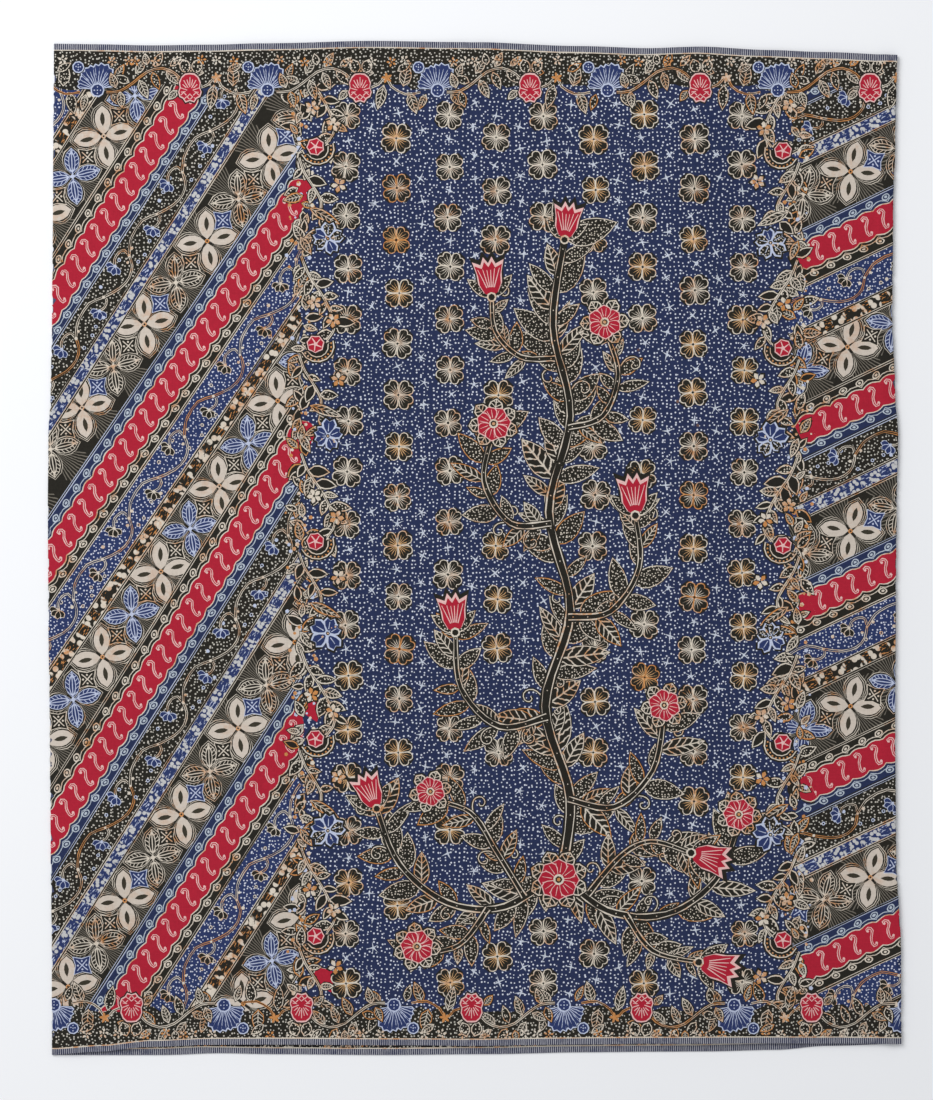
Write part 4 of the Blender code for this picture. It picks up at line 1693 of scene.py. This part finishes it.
def carnation(drawing, place, u, w):
    """Red body with a scalloped rim and pink rays, and two round lobes on its outer side."""
    for side in (-1, 1):
        lobe = lens(-8.0, 8.0, 5.8, 3, 0.5, 0.6)
        x, y = place.at(u + side * 6.2 + 1.0, w - 22.0)
        slant = 90 - side * place.turn * 18
        for size, dye in ((1.16, "black"), (1.0, "cream"), (0.84, "spotted")):
            drawing.fill(dye, set_at(lobe, x, y, slant, size))
    for scale, dye in ((1.1, "black"), (1.0, "pink"), (0.9, "red")):
        drawing.fill(dye, place.path([(u + a * scale, w + b * scale) for a, b in CARNATION_BODY]))
    for k in range(11):
        slant = math.radians(-95 + 19 * k)
        near, far = (3.0, 10.4) if k % 2 else (4.6, 9.2)
        ray = [(u + math.sin(slant) * r, w + 4.0 - math.cos(slant) * r * 1.4) for r in (near, far)]
        drawing.line("pink", place.path(ray), 0.95, 0.8)
    for a, b in ((-6.5, 7.2), (0.0, 9.0), (6.5, 7.2), (-3.4, 11.4), (3.4, 11.4)):
        frill = [(u + a - 3, w + b + 1), (u + a, w + b - 1.8), (u + a + 3, w + b + 1)]
        drawing.line("pink", place.path(frill), 1.0)


FAN_PETAL = (
    (1.0, 0.0), (9.0, 4.0), (16.0, 8.4), (19.4, 7.4), (19.0, 4.6), (21.6, 3.2), (20.6, 0.0), (22.0, -2.6),
    (19.2, -4.6), (19.2, -7.6), (15.6, -8.4), (9.0, -4.0),
)


def fan_flower(drawing, place, u, w):
    """Blue scalloped petals with pale rays, opening from a dotted calyx, and one small lobe."""
    fans = ((-58, 0.86), (-22, 1.02), (16, 1.1), (52, 0.9))
    calyx = place.at(u + 3.0, w + 12.0)

    def outward(tilt):
        return 90 * place.turn - tilt

    for grow, dye in ((1.12, "black"), (1.0, "pale"), (0.88, "fan_blue")):
        for tilt, size in fans:
            petal = [(13 + (a - 13) * grow, b * grow) for a, b in FAN_PETAL]
            frame = (*calyx, outward(tilt), 1.0, 1.0) if dye == "fan_blue" else None
            drawing.fill(dye, set_at(petal, *calyx, outward(tilt), size * 1.22), frame)
    lobe = place.at(u - 17.0, w - 12.0)
    for radius, dye in ((7.2, "black"), (6.4, "pale"), (5.1, "blue")):
        dot(drawing, dye, *lobe, radius, 9)
    for spot in ((-2.2, 0.8), (2.2, 0.4), (0, -2.6), (0, 2.8), (0, 0)):
        dot(drawing, "pale", lobe[0] + spot[0], lobe[1] + spot[1], 0.75, 5)
    for radius, dye in ((7.4, "pale"), (6.0, "blue")):
        dot(drawing, dye, *calyx, radius, 9)
    for spot in ((0, 0), (3.2, 0), (-3.2, 0), (0, 3.2), (0, -3.2)):
        dot(drawing, "pale", calyx[0] + spot[0], calyx[1] + spot[1], 0.8, 5)


LeafRow = namedtuple("LeafRow", "u w angle long wide")
BORDER_LEAVES = (
    LeafRow(8, 27, 60, 19, 9), LeafRow(20, 18, 96, 13, 8), LeafRow(28, 20, 62, 18, 9),
    LeafRow(44, 19, 40, 16, 7), LeafRow(2, 36, 158, 17, 9), LeafRow(12, 33, -66, 22, 10),
    LeafRow(26, 25, -72, 20, 9), LeafRow(40, 24, -42, 20, 9), LeafRow(-12, 42, 112, 17, 9),
    LeafRow(-8, 45, -78, 18, 9), LeafRow(52, 44, 230, 14, 8), LeafRow(80, 26, 168, 16, 8),
    LeafRow(90, 38, -100, 27, 11), LeafRow(110, 40, 82, 24, 13), LeafRow(116, 46, -74, 24, 11),
    LeafRow(104, 24, 30, 17, 8), LeafRow(164, 34, 66, 20, 9), LeafRow(160, 46, -52, 18, 9),
    LeafRow(134, 48, -110, 18, 8),
)
BORDER_STEM = ((-22, 46), (-8, 45), (6, 36), (20, 25), (36, 21), (50, 27), (58, 36))
BORDER_STEM_2 = ((74, 42), (84, 38), (92, 30), (98, 40), (112, 48), (128, 46))


def border_repeat(drawing, place, rng):
    drawing.line("black", smooth(place.path(BORDER_STEM), 3), 5.0)
    for row in BORDER_LEAVES:
        x, y = place.at(row.u, row.w)
        angle = row.angle if place.turn > 0 else row.angle + 180
        dye = rng.choice(("cream", "cream", "cream", "amber"))
        inside = "veined" if rng.random() < 0.7 else "spotted"
        leaf(drawing, x, y, angle + rng.uniform(-7, 7), row.long, row.wide, dye, inside)
    for stem in (BORDER_STEM, BORDER_STEM_2):
        path = smooth(place.path(stem), 2)
        drawing.line("cream" if rng.random() < 0.5 else "amber", path, 2.3)
        drawing.line("black", path, 0.9)
    node_x, node_y = place.at(93, 31)
    for k in range(5):
        drawing.fill("amber", set_at(lens(0.0, 6.0, 1.5, 2), node_x, node_y, 30 + 72 * k))
    carnation(drawing, place, 65, 41)
    fan_flower(drawing, place, 143, 32)


def long_border(drawing, first_x, edge_y, turn, seed):
    rng = random.Random(seed)
    ground = []
    x = -470.0
    while x < 470.0:
        ground.append((x, edge_y - turn * (BORDER_DEEP - 6.0 + rng.uniform(-5, 5))))
        x += 9.0
    ground += [(470.0, edge_y + turn * 20.0), (-470.0, edge_y + turn * 20.0)]
    drawing.fill("black_dotted", ground)
    for i in range(-1, 7):
        place = BorderPlace(first_x + turn * BORDER_REPEAT * (i - 1), edge_y, turn)
        border_repeat(drawing, place, rng)
        for u in (10, 30, 50, 76, 96, 112, 160, 176):
            x, y = place.at(u + rng.uniform(-3, 3), rng.uniform(12.0, 15.0))
            drop_blossom(drawing, x, y, rng, rng.choice(("cream", "cream", "amber")))


side_border(front, -165.0, 417.0, 1, 31)
side_border(front, 321.0, 412.8, -1, 32)
long_border(front, -362.0, 522.0, 1, 33)
long_border(front, 417.0, -521.0, -1, 34)
selvedge(front, "top", -1)
selvedge(front, "front_bottom", 1)


# The front stretch of the cloth
# One thin cotton layer over the back, turned under at the left fold and in at the seam. The drawn
# marks are cut into its face, each with its dye; the inner side carries the dye's reverse.
LATTICE_X = 18.0
LATTICE_Y = 22.0
INNER_COARSER = 2.0
TURN_ROW = 11.0  # rows this close at both turns, where the side edges wander
MERGE_MM = 0.004
DRAWN_SLACK = 0.20  # how far a straightened edge between two dyes may move
BEND_SLACK = 0.10


def lattice(outline, coarser=1.0):
    """Points over the cloth that let it follow its swells, closer at the creases and both turns."""
    lowest = min(y for _, y in outline)
    highest = max(y for _, y in outline)
    steps = list(np.arange(14.0, WIDTH - 30.0, LATTICE_X * coarser))
    for crease in CREASES:
        steps += [crease.share * WIDTH + step for step in (-8.0, -5.0, -2.5, 0.0, 2.5, 5.0, 8.0)]
    turn_steps = [TURN_RADIUS - TURN_RADIUS * math.pi * k / 5 for k in range(6)]
    climb_steps = [SEAM_TURN_IN * step for step in (2.5, 2.1, 1.7, 1.3, 0.7)]
    points = []
    for y in np.arange(lowest + 3.0, highest - 3.0, LATTICE_Y * coarser):
        left, _ = side_edges(y)
        points += [(float(left + step), float(y)) for step in steps]
    for y in np.arange(lowest + 2.0, highest - 2.0, TURN_ROW):
        left, right = side_edges(y)
        points += [(float(left + step), float(y)) for step in turn_steps]
        points += [(float(right - step), float(y)) for step in climb_steps + turn_steps]
    return points


def face_edges(faces, count):
    """Every edge once, with the face on each side. The second face is -1 along the rim."""
    from_point = faces.ravel()
    to_point = faces[:, [1, 2, 0]].ravel()
    owner = np.repeat(np.arange(len(faces)), 3)
    key = np.minimum(from_point, to_point) * count + np.maximum(from_point, to_point)
    order = np.argsort(key, kind="stable")
    key, owner = key[order], owner[order]
    from_point, to_point = from_point[order], to_point[order]
    first = np.concatenate([[True], key[1:] != key[:-1]])
    paired = np.concatenate([key[1:] == key[:-1], [False]])
    other = np.where(paired, np.concatenate([owner[1:], [-1]]), -1)
    return from_point[first], to_point[first], owner[first], other[first]


def rim_loop(starts, ends):
    """The points round the rim in order, from its directed edges."""
    following = dict(zip(starts.tolist(), ends.tolist()))
    loop = [next(iter(following))]
    while following[loop[-1]] != loop[0]:
        loop.append(following[loop[-1]])
    return loop


def straightened(path, places, slack):
    """A chain of points without those that lie within the slack of a straight line."""
    if len(path) < 3:
        return path
    (ax, ay), (bx, by) = places[path[0]], places[path[-1]]
    length = math.hypot(bx - ax, by - ay)
    farthest, worst = 0, slack
    for i in range(1, len(path) - 1):
        x, y = places[path[i]]
        if length < 1e-6:
            away = math.hypot(x - ax, y - ay)
        else:
            away = abs((bx - ax) * (y - ay) - (by - ay) * (x - ax)) / length
        if away > worst:
            farthest, worst = i, away
    if not farthest:
        return [path[0], path[-1]]
    near = straightened(path[: farthest + 1], places, slack)
    return near[:-1] + straightened(path[farthest:], places, slack)


def dye_boundaries(starts, ends, fixed, places, slack):
    """The edges between unlike dyes, joined into chains and straightened. Fixed points all stay."""
    around = {}
    for a, b in zip(starts.tolist(), ends.tolist()):
        around.setdefault(a, []).append(b)
        around.setdefault(b, []).append(a)
    walked = set()
    chains = []
    for at_junctions in (True, False):
        for root, near in around.items():
            if at_junctions and len(near) == 2 and root not in fixed:
                continue
            for step in near:
                if (root, step) in walked:
                    continue
                chain = [root, step]
                while len(around[chain[-1]]) == 2 and chain[-1] != root and chain[-1] not in fixed:
                    one, two = around[chain[-1]]
                    chain.append(two if one == chain[-2] else one)
                walked.update(zip(chain, chain[1:]))
                walked.update(zip(chain[1:], chain))
                chains.append(chain)
    edges = []
    for chain in chains:
        if chain[0] == chain[-1]:
            middle = len(chain) // 2
            kept = straightened(chain[: middle + 1], places, slack)[:-1]
            kept += straightened(chain[middle:], places, slack)
        else:
            kept = straightened(chain, places, slack)
        edges += list(zip(kept, kept[1:]))
    return edges


def halved_where_bent(places, edges, lie):
    """Edges halved, and halved again, wherever the laid cloth bends away from them."""
    places, edges = np.array(places), np.array(edges)
    straight = []
    for _ in range(9):
        starts, ends = places[edges[:, 0]], places[edges[:, 1]]
        middles = (starts + ends) / 2
        chord = (lie(starts[:, 0], starts[:, 1]) + lie(ends[:, 0], ends[:, 1])) / 2
        away = np.linalg.norm(lie(middles[:, 0], middles[:, 1]) - chord, axis=1)
        bent = away > BEND_SLACK
        straight.append(edges[~bent])
        if not bent.any():
            break
        new = len(places) + np.arange(bent.sum())
        places = np.concatenate([places, middles[bent]])
        first, second = edges[bent].T
        edges = np.concatenate([np.stack([first, new], 1), np.stack([new, second], 1)])
    return places, np.concatenate(straight)


def cut_into_faces(outline, drawing, lie, extra):
    """The marks cut into triangles that share their corners. Returns places, faces and marks.

    First all outlines are cut against each other, and the topmost mark dyes each piece. Then
    only the edges between unlike dyes are kept, and the cloth is cut again along those.
    """
    points = [Vector(p) for p in outline + drawing.points]
    start = len(outline)
    outlines = [list(range(start))]
    outlines += [[start + i for i in face] for face in drawing.outlines]
    mark_keys = np.array([DYE_NUMBER["black"], *drawing.dyes])
    framed = np.array([False, *(frame[5] > 0.0 for frame in drawing.frames)])
    mark_keys[framed] = len(DYES) + np.flatnonzero(framed)
    boxes = np.empty((len(outlines), 4))
    flat_points = np.array(outline + drawing.points)
    for i, face in enumerate(outlines):
        corners = flat_points[face]
        boxes[i, :2] = corners.min(0) - 0.1
        boxes[i, 2:] = corners.max(0) + 0.1
    places, _, faces, _, _, owners = delaunay_2d_cdt(points, [], outlines, 0, MERGE_MM, True)
    places = np.array([(p.x, p.y) for p in places])
    on_cloth = [i for i, marks in enumerate(owners) if 0 in marks]
    faces = np.array([faces[i] for i in on_cloth])
    middles = places[faces].mean(1)
    top = np.empty(len(faces), int)
    for row, i in enumerate(on_cloth):
        x, y = middles[row]
        for mark in sorted(owners[i], reverse=True):
            low_x, low_y, high_x, high_y = boxes[mark]
            if low_x < x < high_x and low_y < y < high_y:
                break
        top[row] = mark
    keys = mark_keys[top]
    starts, ends, left, right = face_edges(faces, len(places))
    kept = (right < 0) | (keys[left] != keys[right])
    loop = rim_loop(starts[right < 0], ends[right < 0])
    edges = dye_boundaries(starts[kept], ends[kept], set(loop), places.tolist(), DRAWN_SLACK)
    used = np.unique(np.array(edges + list(zip(loop, loop[1:] + loop[:1]))))
    number = {old: new for new, old in enumerate(used.tolist())}
    edges = [(number[a], number[b]) for a, b in edges]
    loop = [number[a] for a in loop]
    kept_places, edges = halved_where_bent(places[used], edges, lie)
    points = [Vector(p) for p in kept_places.tolist() + extra]
    found, _, cut, _, _, owners = delaunay_2d_cdt(points, edges.tolist(), [loop], 0, MERGE_MM, True)
    flat_faces = BVHTree.FromPolygons([(x, y, 0.0) for x, y in places.tolist()], faces.tolist())
    down = Vector((0.0, 0.0, -1.0))
    kept_faces, kept_marks = [], []
    for face, inside in zip(cut, owners):
        if not inside:
            continue
        middle = (found[face[0]] + found[face[1]] + found[face[2]]) / 3
        hit = flat_faces.ray_cast((middle.x, middle.y, 1.0), down)[2]
        if hit is None:
            hit = flat_faces.find_nearest((middle.x, middle.y, 0.0))[2]
        kept_faces.append(face)
        kept_marks.append(top[hit])
    return np.array([(p.x, p.y) for p in found]), np.array(kept_faces), np.array(kept_marks)


def cut_plain(edge, extra):
    """One plain sheet inside an edge, cut into triangles that keep the edge's own points."""
    points = [Vector(p) for p in edge + extra]
    loop = list(range(len(edge)))
    found, _, cut, _, _, owners = delaunay_2d_cdt(points, [], [loop], 0, MERGE_MM, True)
    inside = [face for face, marks in zip(cut, owners) if marks]
    return np.array([(p.x, p.y) for p in found]), np.array(inside)


def places_in_motifs(corners, frames):
    """Each face corner's place in the frame of its own mark, as the dye's motif reads it."""
    away = corners - frames[:, None, 0:2]
    along, across = frames[:, None, 2:4], frames[:, None, [3, 2]] * (-1.0, 1.0)
    u = (away * along).sum(2)
    v = (away * across).sum(2) * frames[:, None, 4]
    return np.stack([u, v], axis=2)


def make_cloth(name, drawing, outline, lie, facing, printed_inside):
    """A closed thin shell: the drawn outer face, the inner face one wall in, and the cut edge."""
    flat, faces, marks = cut_into_faces(outline, drawing, lie, lattice(outline))
    used, faces = np.unique(faces, return_inverse=True)
    flat, faces = flat[used], faces.reshape(-1, 3)
    dyes = np.array([DYE_NUMBER["black"], *drawing.dyes])[marks]
    motifs = places_in_motifs(flat[faces], np.array([(0.0,) * 6, *drawing.frames])[marks])
    starts, ends, _, other = face_edges(faces, len(flat))
    loop = rim_loop(starts[other < 0], ends[other < 0])
    count = len(flat)
    if printed_inside:
        inner_flat, inner_faces, inner_dyes, inner_motifs = flat, faces, dyes, motifs
        partner = {a: a for a in loop}
    else:
        edge = [tuple(map(float, flat[i])) for i in loop]
        inner_flat, inner_faces = cut_plain(edge, lattice(edge, INNER_COARSER))
        inner_dyes = np.full(len(inner_faces), DYE_NUMBER["reverse"])
        inner_motifs = np.zeros((len(inner_faces), 3, 2))
        partner = {a: i for i, a in enumerate(loop)}
    outer = lie(flat[:, 0], flat[:, 1])
    outer_n = outer_normals(lie, flat[:, 0], flat[:, 1], facing)
    inner_n = outer_normals(lie, inner_flat[:, 0], inner_flat[:, 1], facing)
    inner = lie(inner_flat[:, 0], inner_flat[:, 1]) - inner_n * WALL
    rim_faces = [
        (b, a, count + partner[a], count + partner[b]) for a, b in zip(loop, loop[1:] + loop[:1])
    ]
    if facing > 0:
        all_faces = faces.tolist() + (inner_faces[:, ::-1] + count).tolist() + rim_faces
        inner_motifs = inner_motifs[:, ::-1]
    else:
        all_faces = faces[:, ::-1].tolist() + (inner_faces + count).tolist()
        all_faces += [face[::-1] for face in rim_faces]
        motifs = motifs[:, ::-1]
    mesh = bpy.data.meshes.new(name)
    mesh.from_pydata((np.concatenate([outer, inner]) * MM).tolist(), [], all_faces)
    for material in DYES.values():
        mesh.materials.append(material)
    rim_dyes = np.full(len(rim_faces), DYE_NUMBER["blue"])
    numbers = np.concatenate([dyes, inner_dyes, rim_dyes]).astype(np.int32)
    mesh.polygons.foreach_set("material_index", numbers)
    corner_places = [motifs.ravel(), inner_motifs.ravel(), np.zeros(len(rim_faces) * 8)]
    mesh.uv_layers.new(name=MOTIF_MAP).uv.foreach_set("vector", np.concatenate(corner_places))
    mesh.shade_smooth()
    mesh.normals_split_custom_set_from_vertices(np.concatenate([outer_n, -inner_n]).tolist())
    cloth = bpy.data.objects.new(name, mesh)
    bpy.context.scene.collection.objects.link(cloth)
    return cloth


half_turn = math.pi * TURN_RADIUS
front_outline = cloth_outline(half_turn + FOLD_RETURN, half_turn + SEAM_TURN_IN, "front_bottom", "top")
front_cloth = make_cloth("front_cloth", front, front_outline, lie_front, 1.0, False)


# The back stretch of the cloth
# The rest of the same tube, lying face down on the table. Its lower edge hangs out below the front.
# The dye goes right through, so both of its faces show the same drawing.
back = Drawing(6)
long_border(back, -380.0, 516.0, 1, 53)
long_border(back, 430.0, -531.0, -1, 54)
selvedge(back, "back_top", -1)
selvedge(back, "back_bottom", 1)
back_outline = cloth_outline(
    -(FOLD_RETURN + 0.3), half_turn + SEAM_TURN_IN, "back_bottom", "back_top"
)
back_cloth = make_cloth("back_cloth", back, back_outline, lie_back, -1.0, True)


# Setting both stretches in the frame
# The laid cloth is drawn about its own middle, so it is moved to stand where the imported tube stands.
corners = np.array([v.co for piece in (front_cloth, back_cloth) for v in piece.data.vertices])
shift = (Vector(cad_low) + Vector(cad_high)) / 2 - Vector((corners.min(0) + corners.max(0)) / 2)
shift.z = cad_low.z - float(corners[:, 2].min())
for piece, node in ((front_cloth, "front_panel"), (back_cloth, "back_panel")):
    piece.data.transform(Matrix.Translation(shift))
    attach(piece, "root")
    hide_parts(node)
